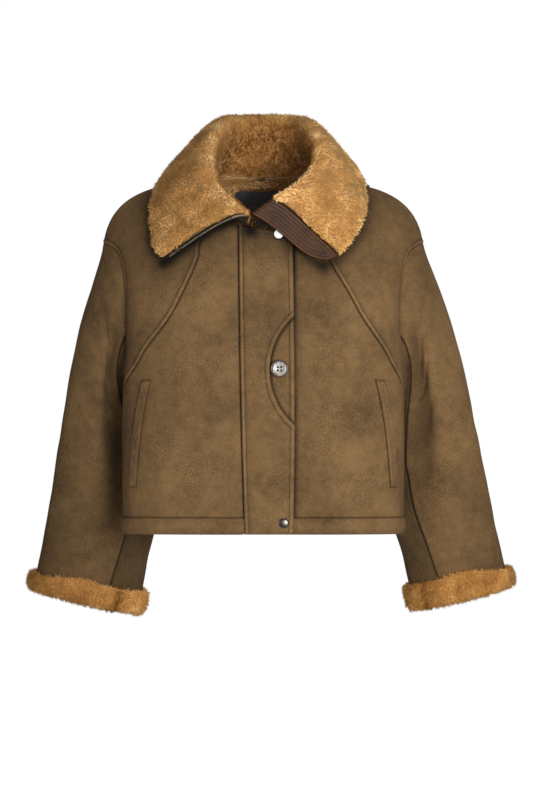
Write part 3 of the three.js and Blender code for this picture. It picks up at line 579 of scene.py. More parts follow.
def cloudy_group():
    """Cloudy tone of cloth: two colours mixed by large clouds and small flecks, under a fine grain."""
    tree, given, out = group(
        "Cloudy tone",
        [
            ("Dark", "NodeSocketColor", (0, 0, 0, 1)),
            ("Light", "NodeSocketColor", (1, 1, 1, 1)),
            ("Cloud size", "NodeSocketFloat", 12.0),
            ("Fleck size", "NodeSocketFloat", 60.0),
            ("Fleck share", "NodeSocketFloat", 0.35),
        ],
        [("Color", "NodeSocketColor"), ("Mask", "NodeSocketFloat")],
    )
    place = node(tree, "ShaderNodeTexCoord")
    clouds = noise_of(tree, place, given.outputs["Cloud size"], 3.0)
    flecks = noise_of(tree, place, given.outputs["Fleck size"], 5.0, 0.65)
    shares = {"Factor": given.outputs["Fleck share"], "A": clouds.outputs["Fac"], "B": flecks.outputs["Fac"]}
    both = node(tree, "ShaderNodeMix", shares)
    mask = stretched(tree, both.outputs["Result"], (0.34, 0.66))
    grain = noise_of(tree, place, 420.0, 3.0, 0.7)
    grit = stretched(tree, grain.outputs["Fac"], (0.3, 0.7), (0.79, 1.21))
    ends = {"Factor": mask, 6: given.outputs["Dark"], 7: given.outputs["Light"]}
    tint = node(tree, "ShaderNodeMix", ends, data_type="RGBA")
    tree.links.new(times(tree, tint.outputs[2], grit), out.inputs["Color"])
    tree.links.new(mask, out.inputs["Mask"])
    return tree


def nap_group():
    """Height of a napped or grained face: fine nap, and a sparse net of fine wrinkles."""
    tree, given, out = group(
        "Nap",
        [
            ("Nap size", "NodeSocketFloat", 900.0),
            ("Wrinkle size", "NodeSocketFloat", 130.0),
            ("Wrinkle share", "NodeSocketFloat", 0.5),
        ],
        [("Height", "NodeSocketFloat")],
    )
    place = node(tree, "ShaderNodeTexCoord")
    nap = noise_of(tree, place, given.outputs["Nap size"], 2.0)
    bend = times(tree, noise_of(tree, place, 40.0, 2.0).outputs["Color"], 0.02)
    moved = node(tree, "ShaderNodeVectorMath", {0: place.outputs["Object"], 1: bend}, operation="ADD")
    cell_values = {"Vector": moved.outputs[0], "Scale": given.outputs["Wrinkle size"]}
    cells = node(tree, "ShaderNodeTexVoronoi", cell_values, feature="DISTANCE_TO_EDGE")
    net = stretched(tree, cells.outputs["Distance"], (0.0, 0.12))
    sparse = stretched(tree, noise_of(tree, place, 16.0, 2.0).outputs["Fac"], (0.42, 0.62))
    amount = math_of(tree, "MULTIPLY", sparse, given.outputs["Wrinkle share"])
    wrinkled = math_of(tree, "MULTIPLY", net, amount)
    total = math_of(tree, "ADD", nap.outputs["Fac"], wrinkled)
    tree.links.new(total, out.inputs["Height"])
    return tree


CLOUDY = cloudy_group()
NAP = nap_group()


def principled(name, **inputs):
    made = bpy.data.materials.new(name)
    made.use_nodes = True
    tree = made.node_tree
    shader = tree.nodes["Principled BSDF"]
    for key, value in inputs.items():
        shader.inputs[key.replace("_", " ")].default_value = value
    return made, tree, shader


def use_group(tree, group_tree, **inputs):
    made = tree.nodes.new("ShaderNodeGroup")
    made.node_tree = group_tree
    for key, value in inputs.items():
        made.inputs[key.replace("_", " ")].default_value = value
    return made


def cloth_material(name, dark, light, cloud, grain, toned=True, shaded=None, **shader_inputs):
    """A clouded colour on a grained face.

    cloud: size of the clouds, size of the flecks, share of the flecks.
    grain: size of the nap, size of the wrinkles, share of the wrinkles, height in metres.
    toned: whether the colour follows the tone kept at the mesh's corners.
    shaded: level in metres that lies in shade, how far the shade reaches, and the light left there.
    """
    made, tree, shader = principled(name, **shader_inputs)
    cloud_size, fleck_size, fleck_share = cloud
    nap_size, wrinkle_size, wrinkle_share, height = grain
    tone = use_group(
        tree, CLOUDY, Dark=dark, Light=light,
        Cloud_size=cloud_size, Fleck_size=fleck_size, Fleck_share=fleck_share,
    )
    colour = tone.outputs["Color"]
    if shaded:
        level, distance, light_left = shaded
        place = node(tree, "ShaderNodeTexCoord")
        parts = node(tree, "ShaderNodeSeparateXYZ", {"Vector": place.outputs["Object"]})
        away = math_of(tree, "ABSOLUTE", math_of(tree, "SUBTRACT", parts.outputs["Z"], level))
        colour = times(tree, colour, stretched(tree, away, (distance * 0.5, distance), (light_left, 1.0)))
    if toned:
        seams = node(tree, "ShaderNodeAttribute", attribute_name="tone")
        colour = times(tree, colour, seams.outputs["Fac"])
    tree.links.new(colour, shader.inputs["Base Color"])
    face = use_group(tree, NAP, Nap_size=nap_size, Wrinkle_size=wrinkle_size, Wrinkle_share=wrinkle_share)
    relief = {"Height": face.outputs["Height"], "Distance": height, "Strength": 1.0}
    tree.links.new(node(tree, "ShaderNodeBump", relief).outputs["Normal"], shader.inputs["Normal"])
    return made


SUEDE = cloth_material(
    "Brown suede", srgb(88, 67, 42), srgb(122, 94, 60), (12, 70, 0.45), (1100, 190, 0.9, 0.0009),
    Roughness=0.85, Sheen_Weight=0.05, Sheen_Roughness=0.4, Sheen_Tint=srgb(200, 170, 130),
    Specular_IOR_Level=0.15,
)
FLEECE = cloth_material(
    "Camel fleece", srgb(130, 86, 38), srgb(178, 128, 70), (60, 260, 0.6), (420, 120, 0.2, 0.003),
    toned=False, Roughness=0.95, Sheen_Weight=0.3, Sheen_Roughness=0.5, Sheen_Tint=srgb(230, 200, 150),
)
LINING = cloth_material(
    "Camel lining", srgb(150, 104, 50), srgb(206, 156, 92), (60, 300, 0.7), (420, 120, 0.2, 0.004),
    toned=False, shaded=(-0.062, 0.038, 0.16), Roughness=0.95,
)
LEATHER = cloth_material(
    "Brown leather", srgb(52, 30, 16), srgb(78, 48, 27), (30, 160, 0.4), (1500, 600, 0.5, 0.00025),
    Roughness=0.5, Specular_IOR_Level=0.2,
)
TAPE = cloth_material(
    "Zip tape", srgb(34, 28, 22), srgb(52, 44, 35), (80, 500, 0.5), (1500, 400, 0.1, 0.0004), Roughness=0.85,
)
LABEL = cloth_material(
    "Charcoal label", srgb(66, 67, 71), srgb(92, 92, 97), (60, 900, 0.4), (1800, 500, 0.1, 0.0003),
    toned=False, Roughness=0.8,
)
THREAD = cloth_material(
    "Brown thread", srgb(26, 18, 11), srgb(46, 33, 21), (200, 900, 0.4), (3000, 900, 0.1, 0.0001),
    toned=False, Roughness=0.7,
)
SEAM_EDGE = cloth_material(
    "Pale seam edge", srgb(208, 176, 134), srgb(236, 208, 168), (90, 500, 0.4), (2000, 500, 0.1, 0.0002),
    toned=False, Roughness=0.6,
)


def fur_material():
    """Pile that is deep brown at the root, camel along the lock and pale at the tip."""
    made, tree, shader = principled(
        "Camel pile", Roughness=0.8, Sheen_Weight=0.12, Sheen_Roughness=0.4, Sheen_Tint=srgb(245, 215, 160),
        Specular_IOR_Level=0.2,
    )
    tip = node(tree, "ShaderNodeAttribute", attribute_name="tip")
    # The shade kept at the corners carries painted light and shade besides the pile's random tone; it moves
    # the colour along the ramp and scales it.
    shade = node(tree, "ShaderNodeAttribute", attribute_name="shade")
    lit = math_of(tree, "MULTIPLY_ADD", shade.outputs["Fac"], 0.75, -0.42)
    paler = math_of(tree, "MULTIPLY_ADD", tip.outputs["Fac"], 0.34, lit)
    ramp = node(tree, "ShaderNodeValToRGB", {"Fac": paler})
    stops = ramp.color_ramp.elements
    stops[0].position, stops[0].color = 0.0, srgb(98, 54, 12)
    stops[1].position, stops[1].color = 1.0, srgb(240, 204, 148)
    for at, tint in ((0.3, srgb(150, 98, 36)), (0.6, srgb(200, 150, 82))):
        stops.new(at).color = tint
    scale = math_of(tree, "MULTIPLY_ADD", shade.outputs["Fac"], 0.6, 0.5)
    tree.links.new(times(tree, ramp.outputs["Color"], scale), shader.inputs["Base Color"])
    return made


def metal_material(name, dark, light, roughness):
    made, tree, shader = principled(name, Metallic=1.0, Roughness=roughness)
    tone = use_group(tree, CLOUDY, Dark=dark, Light=light, Cloud_size=90.0, Fleck_size=900.0, Fleck_share=0.5)
    tree.links.new(tone.outputs["Color"], shader.inputs["Base Color"])
    worn = stretched(tree, tone.outputs["Mask"], (0.0, 1.0), (roughness * 0.7, roughness * 1.3))
    tree.links.new(worn, shader.inputs["Roughness"])
    return made


PILE = fur_material()
NICKEL = metal_material("Dull nickel", srgb(60, 57, 53), srgb(98, 93, 86), 0.3)
TEETH = metal_material("Zip teeth", srgb(150, 140, 124), srgb(205, 194, 176), 0.4)
# The top snap painted near white: a painted glint standing for the light on its metal.
PAINTED_GLINT = cloth_material(
    "Snap white, painted glint", srgb(236, 236, 238), srgb(252, 252, 252), (90, 300, 0.2), (400, 300, 0.0, 0.0001),
    toned=False, Roughness=0.35, Coat_Weight=0.3, Coat_Roughness=0.2,
)
# Near-black for the button's four holes: painted shade in the holes, over the dark thread in them.
HOLE = cloth_material(
    "Button hole", srgb(12, 10, 9), srgb(24, 20, 17), (200, 900, 0.4), (3000, 900, 0.1, 0.0001),
    toned=False, Roughness=0.8,
)
PEARL = cloth_material(
    "Pearl button", srgb(108, 101, 96), srgb(172, 164, 156), (160, 400, 0.4), (400, 300, 0.0, 0.0001),
    toned=False, Roughness=0.3, Coat_Weight=0.2, Coat_Roughness=0.2,
)
HORN = cloth_material(
    "Horn rim", srgb(34, 21, 13), srgb(70, 44, 28), (150, 500, 0.4), (900, 300, 0.0, 0.0001),
    toned=False, Roughness=0.35, Coat_Weight=0.3, Coat_Roughness=0.2,
)


# ---------------------------------------------------------------- stitches and other repeated shapes
STITCH_ROWS = {"body": [], "collar": [], "neck": []}
STITCH_PITCH = 4.0
# Length, width and height of a stitch, and its thread
STITCH_KINDS = {
    "body": ((3.1, 0.8, 0.7), THREAD),
    "collar": ((3.1, 0.8, 0.7), THREAD),
    "neck": ((4.6, 2.1, 2.1), SEAM_EDGE),
}


def parts_of(mesh):
    """A small mesh's points, the points of its faces, and where each face starts."""
    verts = np.array([vert.co[:] for vert in mesh.vertices])
    loops = np.array([loop.vertex_index for loop in mesh.loops], np.int32)
    starts = np.array([face.loop_start for face in mesh.polygons], np.int32)
    return verts, loops, starts


def joined(name, corners, loops, starts, material, values):
    """Mesh of many copies: corners holds each copy's points, loops and starts the faces of one copy."""
    copies, per_copy = corners.shape[:2]
    mesh = bpy.data.meshes.new(name)
    mesh.vertices.add(copies * per_copy)
    mesh.vertices.foreach_set("co", (corners * MM).astype(np.float32).ravel())
    step = np.arange(copies, dtype=np.int32)[:, None]
    mesh.loops.add(copies * len(loops))
    mesh.loops.foreach_set("vertex_index", (loops[None] + step * per_copy).astype(np.int32).ravel())
    mesh.polygons.add(copies * len(starts))
    mesh.polygons.foreach_set("loop_start", (starts[None] + step * len(loops)).astype(np.int32).ravel())
    for label, numbers in values.items():
        keep_values(mesh, label, numbers)
    mesh.update(calc_edges=True)
    mesh.validate()
    mesh.shade_smooth()
    return put(name, mesh, [material])


def repeated(name, small_mesh, origins, axes, material):
    """One joined mesh of a small mesh put at many origins, each with its three axes in millimetres."""
    verts, loops, starts = parts_of(small_mesh)
    shape = sum(verts[None, :, k, None] * axis[:, None] for k, axis in enumerate(axes))
    joined(name, origins[:, None] + shape, loops, starts, material, {})


def stitch_mesh():
    """A stitch: a short round bar, thin at its ends where it goes into the cloth."""
    bm = bmesh.new()
    bmesh.ops.create_uvsphere(bm, u_segments=6, v_segments=4, radius=0.5)
    return as_mesh(bm, "stitch")


def along_line(points, normals, pitch):
    """Places at an even pitch along a line, with their normal and direction."""
    run = distances(points)
    count = max(1, int(run[-1] / pitch))
    at = (np.arange(count) + 0.5) * run[-1] / count
    direction = unit(read_off(at + 0.5, run, points) - read_off(at - 0.5, run, points))
    return read_off(at, run, points), unit(read_off(at, run, normals)), direction


def stitch(area, points, normals):
    if len(points) > 2:
        STITCH_ROWS[area].append(along_line(points, normals, STITCH_PITCH))


def sew():
    """All stitches of each area as one joined mesh."""
    for area, rows in STITCH_ROWS.items():
        (length, width, height), thread = STITCH_KINDS[area]
        p, n, t = (np.concatenate([row[k] for row in rows]) for k in range(3))
        axes = (t * length, unit(np.cross(n, t)) * width, n * height)
        repeated(f"stitches_{area}", stitch_mesh(), p + n * 0.05, axes, thread)


def row_inside(points, normals, edge, distance=STITCH_AT, start=0.0, end=1.0):
    """Line on a sheet's grid at a distance from one edge: left, right, low or top."""
    field = reach(points, edge_line(points, edge))
    line, out = [], []
    inwards = slice(None, None, -1) if edge in ("right", "top") else slice(None)
    count = points.shape[0] if edge in ("left", "right") else points.shape[1]
    for k in range(int(start * (count - 1)), int(end * (count - 1)) + 1):
        picked = (k, inwards) if edge in ("left", "right") else (inwards, k)
        d, p, n = field[picked], points[picked], normals[picked]
        after = int(np.argmax(d >= distance))
        if after == 0:
            continue
        t = (distance - d[after - 1]) / (d[after] - d[after - 1])
        line.append(p[after - 1] * (1 - t) + p[after] * t)
        out.append(n[after - 1] * (1 - t) + n[after] * t)
    return np.array(line), np.array(out)


# ---------------------------------------------------------------- body panels
def seam_rows(side):
    sign, column = (-1, 1) if side == "right" else (1, 2)
    rows = np.array(CURVED_SEAM, float)
    u, v = front_place(sign * rows[:, column], rows[:, 0])
    u, v = np.concatenate([[0], u, [1]]), np.concatenate([[SEAM_NECK_V], v, [SIDE_V]])
    return np.stack([np.linspace(0, 1, len(u)), u, v], 1)


SEAMS = {side: seam_rows(side) for side in ("right", "left")}


def placket_edge(side, z):
    return glide(PLACKET_EDGES, z)[..., 0 if side == "right" else 1]


def seam_place(side, a):
    row = glide(SEAMS[side], a)
    return np.clip(row[..., 0], 0, 1), row[..., 1]


def inner_place(side, v):
    """u on the front at row v where the placket's edge runs, or 0 above the neck corner."""
    gap = SEAM_GAP if side == "right" else -20.0
    low, high = np.zeros_like(v), np.full_like(v, 0.6)
    for _ in range(HALVINGS):
        middle = (low + high) / 2
        p = front(middle, v)
        short = p[..., 0] < np.abs(placket_edge(side, p[..., 2])) + gap
        low, high = np.where(short, middle, low), np.where(short, high, middle)
    start = front(np.zeros_like(v), v)
    above = start[..., 0] > np.abs(placket_edge(side, start[..., 2])) + gap
    return np.where(above, 0, low)


def lap_drop(x):
    return LAP["drop"] * (1 - smooth((x - LAP["start"]) / (LAP["end"] - LAP["start"])))


def dropped(side, surface, u, v):
    drop = lap_drop(surface(u, v)[..., 0]) if side == "left" else np.zeros_like(u)
    return mirror(sunk(surface, u, v, drop), side)


def painted_collar_shadow(points):
    """Painted shadow below the collar's edges, seen square from the front or back.

    Each line is moved by x and z, then paints a deep shadow beside it and a soft one further off.
    """
    def edge(start, end):
        return collar_line(np.linspace(start, end, 81), 1.0)

    if points[..., 1].mean() > 20:
        lines = [(edge(4, 12), 0, -4, 0.55, 0.2)]
    else:
        fall = np.linspace(0, 1, 61)
        lines = [
            (edge(0, 4.5), 0, -4, 0.6, 0.3),
            (edge(11.5, 16), 0, -4, 0.6, 0.3),
            (collar_line(0.0, fall), 2, -9, 0.92, 0.3),
            (collar_line(float(COLLAR_SPAN), fall), -5, -8, 0.72, 0.25),
        ]
    seen = np.array([1.0, 0, 1.0])
    tone = np.ones(points.shape[:2])
    for line, x, z, deep, soft in lines:
        d = reach(points * seen, line * seen + np.array([x, 0, z]))
        tone = tone * line_tone(d, deep, 9.0) * line_tone(d, soft, 26.0)
    return tone


def finish_panel(name, points, normals, height, tone, wall=BODY_WALL):
    """Shape a panel by its seams and creases, tone it and give it a wall."""
    shifted = points + normals * height[..., None]
    # Panels that reach up near the collar get its painted shadow.
    if points[..., 2].max() > -150:
        tone = tone * painted_collar_shadow(points)
    mesh = grid_mesh(f"{name}_cloth", shifted, normals, tone)
    piece = put(f"{name}_cloth", mesh, [SUEDE, LINING], name)
    give_wall(piece, wall)
    return shifted


def stitch_inside(points, normals, edge, distance=STITCH_AT, start=0.0, end=1.0):
    stitch("body", *row_inside(points, normals, edge, distance, start, end))


def front_panel(side):
    """Lower front, from the placket to the side seam, up to the curved seam."""
    levels = np.linspace(0, SEAM_NECK_V, 400)
    inner = inner_place(side, levels)

    def starts(v):
        return np.interp(v, levels, inner)

    def place(a, b):
        seam_u, seam_v = seam_place(side, a)
        on_seam = (seam_u - starts(seam_v)) / (1 - starts(seam_v))
        start = starts(seam_v * b)
        at_hem = a**1.5
        u = start + (1 - start) * (at_hem + (on_seam - at_hem) * b)
        return dropped(side, front, np.minimum(1 - TRIM, u), seam_v * b)

    points, normals = lay(place, fine_ends(92, 0.006), fine_ends(104, 0.004), body_core)
    left, right, low, top = reaches(points)
    height = body_creases(points, FRONT_CREASES) + soft_swell(points, 55, 1.1, 3.0)
    height = height * smooth(np.minimum(top, low) / 25)
    height = height + sink(top, 1.1, 1.5) + rolled(right, 1.6) + sink(low, 0.9, 1.8) + sink(left, 0.8, 1.5)
    tone = line_tone(top, 0.5, 1.3) * line_tone(low, 0.26, 1.6)
    tone = tone * line_tone(right, 0.3, 2) * line_tone(left, 0.5, 1.5)
    if side == "left":
        # Painted shadow beside the placket's edge, deeper towards the top.
        z = points[..., 2]
        beside = np.maximum(points[..., 0] - placket_edge("left", z), 0)
        deep = 0.6 + 0.16 * smooth((z + 210) / 110) + 0.17 * smooth((z + 135) / 30)
        tone = tone * (1 - deep * bell(beside, 3.6) - 0.2 * bell(beside, 12))
    shifted = finish_panel(f"front_{side}", points, normals, height, tone)
    seam_allowance(f"side_seam_{side}", shifted[:, -1], normals[:, -1], HEM_HEIGHT - 3)
    if side == "right":
        seam_allowance("placket_seam", shifted[:, 0], normals[:, 0], HEM_HEIGHT - 3)


ALLOWANCE = {"below": 1.0, "wall": 0.8, "tone": 0.45, "across": (-5, -2, 2, 5)}


def seam_allowance(name, line, normals, drop=0.0):
    """Both allowances pressed open behind a seam, as one strip that may run on down into the hem band."""
    if drop:
        line = np.concatenate([line[:1] - np.array([[0, 0, drop]]), line])
        normals = np.concatenate([normals[:1], normals])
    across = unit(np.cross(normals, np.gradient(line, axis=0)))
    under = line - normals * (BODY_WALL + ALLOWANCE["below"])
    rows = np.stack([under + across * w for w in ALLOWANCE["across"]])
    # This tone darkens the allowances: painted shade inside the seams.
    tone = np.full(rows.shape[:2], ALLOWANCE["tone"])
    mesh = grid_mesh(name, rows, np.broadcast_to(normals, rows.shape), tone)
    piece = put(name, mesh, [SUEDE, SUEDE])
    give_wall(piece, ALLOWANCE["wall"])


def shoulder_panel(side):
    """Front panel above the curved seam, up to the shoulder and the armhole."""
    def place(a, b):
        seam_u, seam_v = seam_place(side, a)
        top_u = 1 - (1 - seam_u) * (1 - 0.45 * smooth(a / 0.3))
        u = np.minimum(1 - TRIM, seam_u + (top_u - seam_u) * b)
        return dropped(side, front, u, seam_v + (1 - seam_v) * b)

    up = TRIM + (1 - 3 * TRIM) * fine_ends(76, 0.009)
    points, normals = lay(place, fine_ends(84, 0.006), up, body_core)
    _, right, low, top = reaches(points)
    height = body_creases(points, FRONT_CREASES) + soft_swell(points, 55, 1.1, 3.0)
    height = height * smooth(low / 25) * smooth(right / 20)
    height += welt(low) + sink(low, 1.1, 1.3) + sink(right, 1.2, 1.6) + welt(right) + sink(top, 0.8, 1.4)
    tone = welt_tone(low) * welt_tone(right) * line_tone(top, 0.4, 1.5)
    shifted = finish_panel(f"shoulder_{side}", points, normals, height, tone)
    stitch_inside(shifted, normals, "low", start=0.02, end=0.99)
    stitch_inside(shifted, normals, "right", start=0.02, end=0.98)
    seam_allowance(f"shoulder_seam_{side}", shifted[-1, 2:-2], normals[-1, 2:-2])
    seam_allowance(f"front_seam_{side}", shifted[0, 2:-2], normals[0, 2:-2])


NECK_SHARE = 0.3


def back_panel():
    """Back in one piece, from side seam to side seam."""
    def place(a, b):
        across = np.abs(a)
        on_seam = seam_place("right", (across - NECK_SHARE) / (1 - NECK_SHARE))[0]
        top_u = np.where(across < NECK_SHARE, 0, on_seam)
        top_v = np.where(across < NECK_SHARE, BACK_NECK_V + (1 - BACK_NECK_V) * across / NECK_SHARE, 1)
        u = np.minimum(1 - TRIM, across + (top_u - across) * b)
        return to_side(back(u, top_v * b), a)

    across = 2 * fine_ends(128, 0.0035) - 1
    points, normals = lay(place, across, (1 - TRIM) * fine_ends(116, 0.004), body_core)
    left, right, low, top = reaches(points)
    side = np.minimum(left, right)
    height = body_creases(points, BACK_CREASES) + soft_swell(points, 60, 1.4, 8.0)
    height = height * smooth(np.minimum(top, low) / 25) * smooth(side / 18)
    height += sink(low, 1.3, 1.8) + sink(side, 1.1, 1.5) + sink(top, 0.9, 1.5)
    armhole = side + 400 * (1 - smooth((points[..., 2] + 312) / 8))
    height += welt(armhole) + welt(top) * smooth((np.abs(points[..., 0]) - 84) / 10)
    tone = line_tone(low, 0.4, 1.3) * line_tone(side, 0.4, 1.6) * line_tone(top, 0.4, 1.5)
    tone = tone * welt_tone(armhole, 0)
    shifted = finish_panel("back", points, normals, height, tone)
    sewn = (("left", 0.42, 0.99), ("right", 0.42, 0.99), ("top", 0.0, 0.33), ("top", 0.67, 1.0))
    for edge, start, end in sewn:
        stitch_inside(shifted, normals, edge, start=start, end=end)


# ---------------------------------------------------------------- placket, half-moon cut and pockets
def moon_cut(z):
    """How far the half-moon cuts into the placket at a height."""
    off = np.abs(z - MOON["z"])
    cut = np.sqrt(np.maximum(0, MOON_RADIUS**2 - off**2)) - (MOON_RADIUS - MOON["depth"])
    return np.where(off >= MOON["half"], 0, cut)


def moon_distance(x, z):
    """Distance outside the half-moon's arc on the placket."""
    centre_x = MOON["edge"] - MOON["depth"] + MOON_RADIUS
    return np.hypot(x - centre_x, z - MOON["z"]) - MOON_RADIUS


def strip_place(left_edge, right_edge, bottom, lift):
    """Places on the front of a strip between two edges, given by height."""
    def place(a, b):
        level = bottom + (PLACKET_TOP["z"] - bottom) * b
        x = right_edge(level) + (left_edge(level) - right_edge(level)) * a
        fall = PLACKET_TOP["fall"] * np.clip((x + 38) / 80, 0, 1)
        return on_front(x, level - fall * smooth((b - 0.8) / 0.2), lift)

    return place


def front_core(p):
    return p + np.array([0.0, 100.0, 0.0])


def placket():
    """Placket with its half-moon cut, two bar rows at the top and a rounded low corner."""
    bottom = HEM_Z - HEM_HEIGHT
    rounding = 4.5

    def left_edge(z):
        near = np.clip(rounding - (z - bottom), 0, rounding - 0.01)
        return placket_edge("left", z) - moon_cut(z) - (rounding - np.sqrt(rounding**2 - near**2))

    def right_edge(z):
        return placket_edge("right", z) + SEAM_GAP

    low_rows, rows, top_rows = np.linspace(0, 0.02, 6), np.linspace(0.02, 0.97, 190), np.linspace(0.97, 1, 12)
    up = np.concatenate([low_rows[:-1], rows, top_rows[1:]])
    place = strip_place(left_edge, right_edge, bottom, 1.0)
    points, normals = lay(place, fine_ends(44, 0.014, 6), up, front_core)
    inner, outer, low, top = reaches(points)
    x, z = points[..., 0], points[..., 2]
    straight, arc = placket_edge("left", z) - x, moon_distance(x, z)
    outside_moon = ~(moon_cut(z) > 0)
    height = rolled(outer, 1.8) + welt(inner, rise=0.9) + sink(inner, 1.0, 1.4)
    height += sink(straight - STITCH_AT, 0.6, 0.9) * outside_moon + sink(arc - STITCH_AT, 0.6, 0.9)
    height += rolled(low, 1.8) + sink(top - 6, 0.5, 0.8) + sink(top - 11, 0.5, 0.8)
    height += soft_swell(points, 40, 0.5, 12.0)
    # Painted highlight on the ridge inside the outer edge.
    pale = 1 + 0.2 * bell(outer - 3.2, 1.8)
    tone = welt_tone(inner, 0.65) * line_tone(outer, 0.25, 0.9) * pale
    tone = tone * np.where(outside_moon, line_tone(straight - STITCH_AT, 0.42, 1.0), 1)
    tone = tone * line_tone(arc - STITCH_AT, 0.42, 1.0)
    tone = tone * line_tone(top - 6, 0.35, 1) * line_tone(top - 11, 0.3, 1) * line_tone(low - 3, 0.15, 1.2)
    # Painted shade towards the top, under the collar.
    tone = tone * (1 - 0.22 * smooth((z + 122) / 30))
    shifted = finish_panel("placket", points, normals, height, tone, wall=3.2)
    stitch_inside(shifted, normals, "left", start=0.01, end=0.985)
    for edge, distance in (("top", 6), ("top", 11), ("right", STITCH_AT)):
        stitch_inside(shifted, normals, edge, distance)


def placket_under():
    """The under placket, whose edge shows beside the placket and through the half-moon."""
    def left_edge(z):
        return placket_edge("left", z)

    def right_edge(z):
        return placket_edge("right", z) + 18

    place = strip_place(left_edge, right_edge, HEM_Z - HEM_HEIGHT + 2, -3.6)
    up = np.concatenate([np.linspace(0, 0.02, 4)[:-1], np.linspace(0.02, 1, 130)])
    points, normals = lay(place, fine_ends(30, 0.02, 6), up, front_core)
    outer = reach(points, edge_line(points, "right"))
    height = rolled(outer, 1.5) + welt(outer, rise=0.5)
    # Painted shadow along the half-moon's cut edge, and a painted highlight on the ridge inside the outer
    # edge.
    cut = np.abs(moon_distance(points[..., 0], points[..., 2]) + 1.0)
    tone = line_tone(outer - STITCH_AT, 0.42, 1.0) * line_tone(outer, 0.25, 0.9) * line_tone(cut, 0.8, 2.6)
    tone = tone * (1 + 0.18 * bell(outer - 3.2, 1.8))
    shifted = finish_panel("placket_under", points, normals, height, tone, wall=2.9)
    stitch_inside(shifted, normals, "right", start=0.3, end=0.75)


def pocket_welt(side):
    """Slanting pocket welt with a bar row at each end."""
    top_z, length, width, lift = -284, 162, 19, 2.6

    def place(a, b):
        z = top_z - length * b
        u, v = front_place(glide(POCKET_LINE, z)[..., 0], z)
        stretch = np.linalg.norm(front(u + 0.01, v) - front(u, v), axis=-1) / 0.01
        u = u + a * width / stretch
        return mirror(front(u, v) + body_normal(front, u, v) * lift, side)

    points, normals = lay(place, fine_ends(26, 0.03, 6), fine_ends(70, 0.008), front_core)
    left, right, low, top = reaches(points)
    edge = np.minimum(np.minimum(left, right), np.minimum(low, top))
    bars = np.minimum(np.abs(low - 3), np.abs(top - 3))
    height = rolled(edge, 2.2) + sink(right - 1.0, 0.5, 1.0) + sink(bars, 0.5, 0.8)
    tone = line_tone(edge, 0.6, 1.2) * line_tone(bars, 0.35, 0.8) * line_tone(left, 0.3, 1.4)
    # Painted highlight on the welt's ridge, just inside its edge.
    tone = tone * (1 + 0.2 * bell(edge - 3.5, 1.6))
    name = f"pocket_welt_{side}"
    shifted = finish_panel(name, points, normals, height, tone, wall=3.0)
    for edge_name in ("low", "top"):
        stitch_inside(shifted, normals, edge_name, 3, 0.1, 0.9)


# ---------------------------------------------------------------- hem band
HEM_PROFILE = np.array([
    [1, 0], [2.3, -2.5], [3.0, -8], [3.2, -15], [2.2, -21], [0, -24.4], [-3, -25],
    [-5.6, -23.6], [-6.6, -18], [-7, -12], [-6, -5], [-5, 0],
], float)


def hem_band(name, surface, start, end, drop_at, count):
    """Hem band folded round the hem between two places, drawn in a little at its ends."""
    u = np.linspace(start, end, count + 1)
    base = surface(np.abs(u), np.zeros_like(u))
    inward = body_core(base) - base
    inward[:, 2] = 0
    inward = unit(inward)
    out = HEM_PROFILE[None, :, 0] - drop_at(np.abs(base[:, 0]))[:, None]
    points = base[:, None] - inward[:, None] * out[..., None]
    points[..., 2] = HEM_Z - SEAM_GAP + HEM_PROFILE[None, :, 1]
    points = to_side(points, u[:, None])
    run = distances(points[:, 3])
    ends = np.minimum(run, run[-1] - run)
    close = np.sqrt(1 - np.clip(1 - ends / 3.0, 0, 1) ** 2) * 0.12 + 0.88
    ripple = 0.5 * np.sin(run / 9.0) + 0.4 * np.sin(run / 23.0 + 1)
    middle = points.mean(1, keepdims=True)
    points = middle + (points - middle) * close[:, None, None]
    points[:, 1:6] -= (inward * np.where(ends > 8, ripple, 0)[:, None])[:, None]
    down = HEM_PROFILE[:, 1]
    # Dark seam line at the top, and painted shade along the underside of the fold.
    tone = line_tone(down, 0.3, 1.5) - 0.12 * (down < -20)
    mesh = ring_mesh(f"{name}_cloth", points.swapaxes(0, 1), False, tone)
    piece = put(f"{name}_cloth", mesh, [SUEDE], name)


def hem_bands():
    side_end = 1 - 0.0012
    right_u = float(front_place(placket_edge("right", np.array(-500.0)) + 0.8, -489)[0])
    left_u = float(front_place(placket_edge("left", np.array(-500.0)) - 14, -489)[0])

    def under_lap(x):
        return lap_drop(x) + LAP["extra"] * (1 - smooth((x - LAP["start"]) / 30))

    hem_band("hem_right", front, -right_u, -side_end, np.zeros_like, 90)
    hem_band("hem_left", front, left_u, side_end, under_lap, 90)
    hem_band("hem_back", back, -side_end, side_end, np.zeros_like, 150)


# ---------------------------------------------------------------- sleeves
def sleeve_frame(side):
    """Centre of a sleeve's end, its way down, outward and forward, its half sizes and set."""
    x, y, z, half_width, half_depth, lean, bow, flare = SLEEVES[side]
    lean, back_lean = math.radians(lean), math.radians(8)
    along = unit(np.array([math.sin(lean), math.tan(back_lean), -math.cos(lean)]))
    outward = np.array([math.cos(lean), 0, math.sin(lean)])
    forward = unit(np.cross(outward, along))
    if forward[1] > 0:
        forward = -forward
    return np.array([x, y, z], float), along, outward, forward, half_width, half_depth, bow, flare


FRAMES = {side: sleeve_frame(side) for side in SLEEVES}
REAR_SEAM = -0.3
SEAM_TURN = 0.0006
UNDERARM_LEAVE = np.array([0.14, 0.6, -0.78])
ARMHOLE_CORE = np.array([250.0, 5.0, -196.0])
TUCK = {"depth": 10.0, "start": 0.6, "end": 0.9, "ease": 0.16}


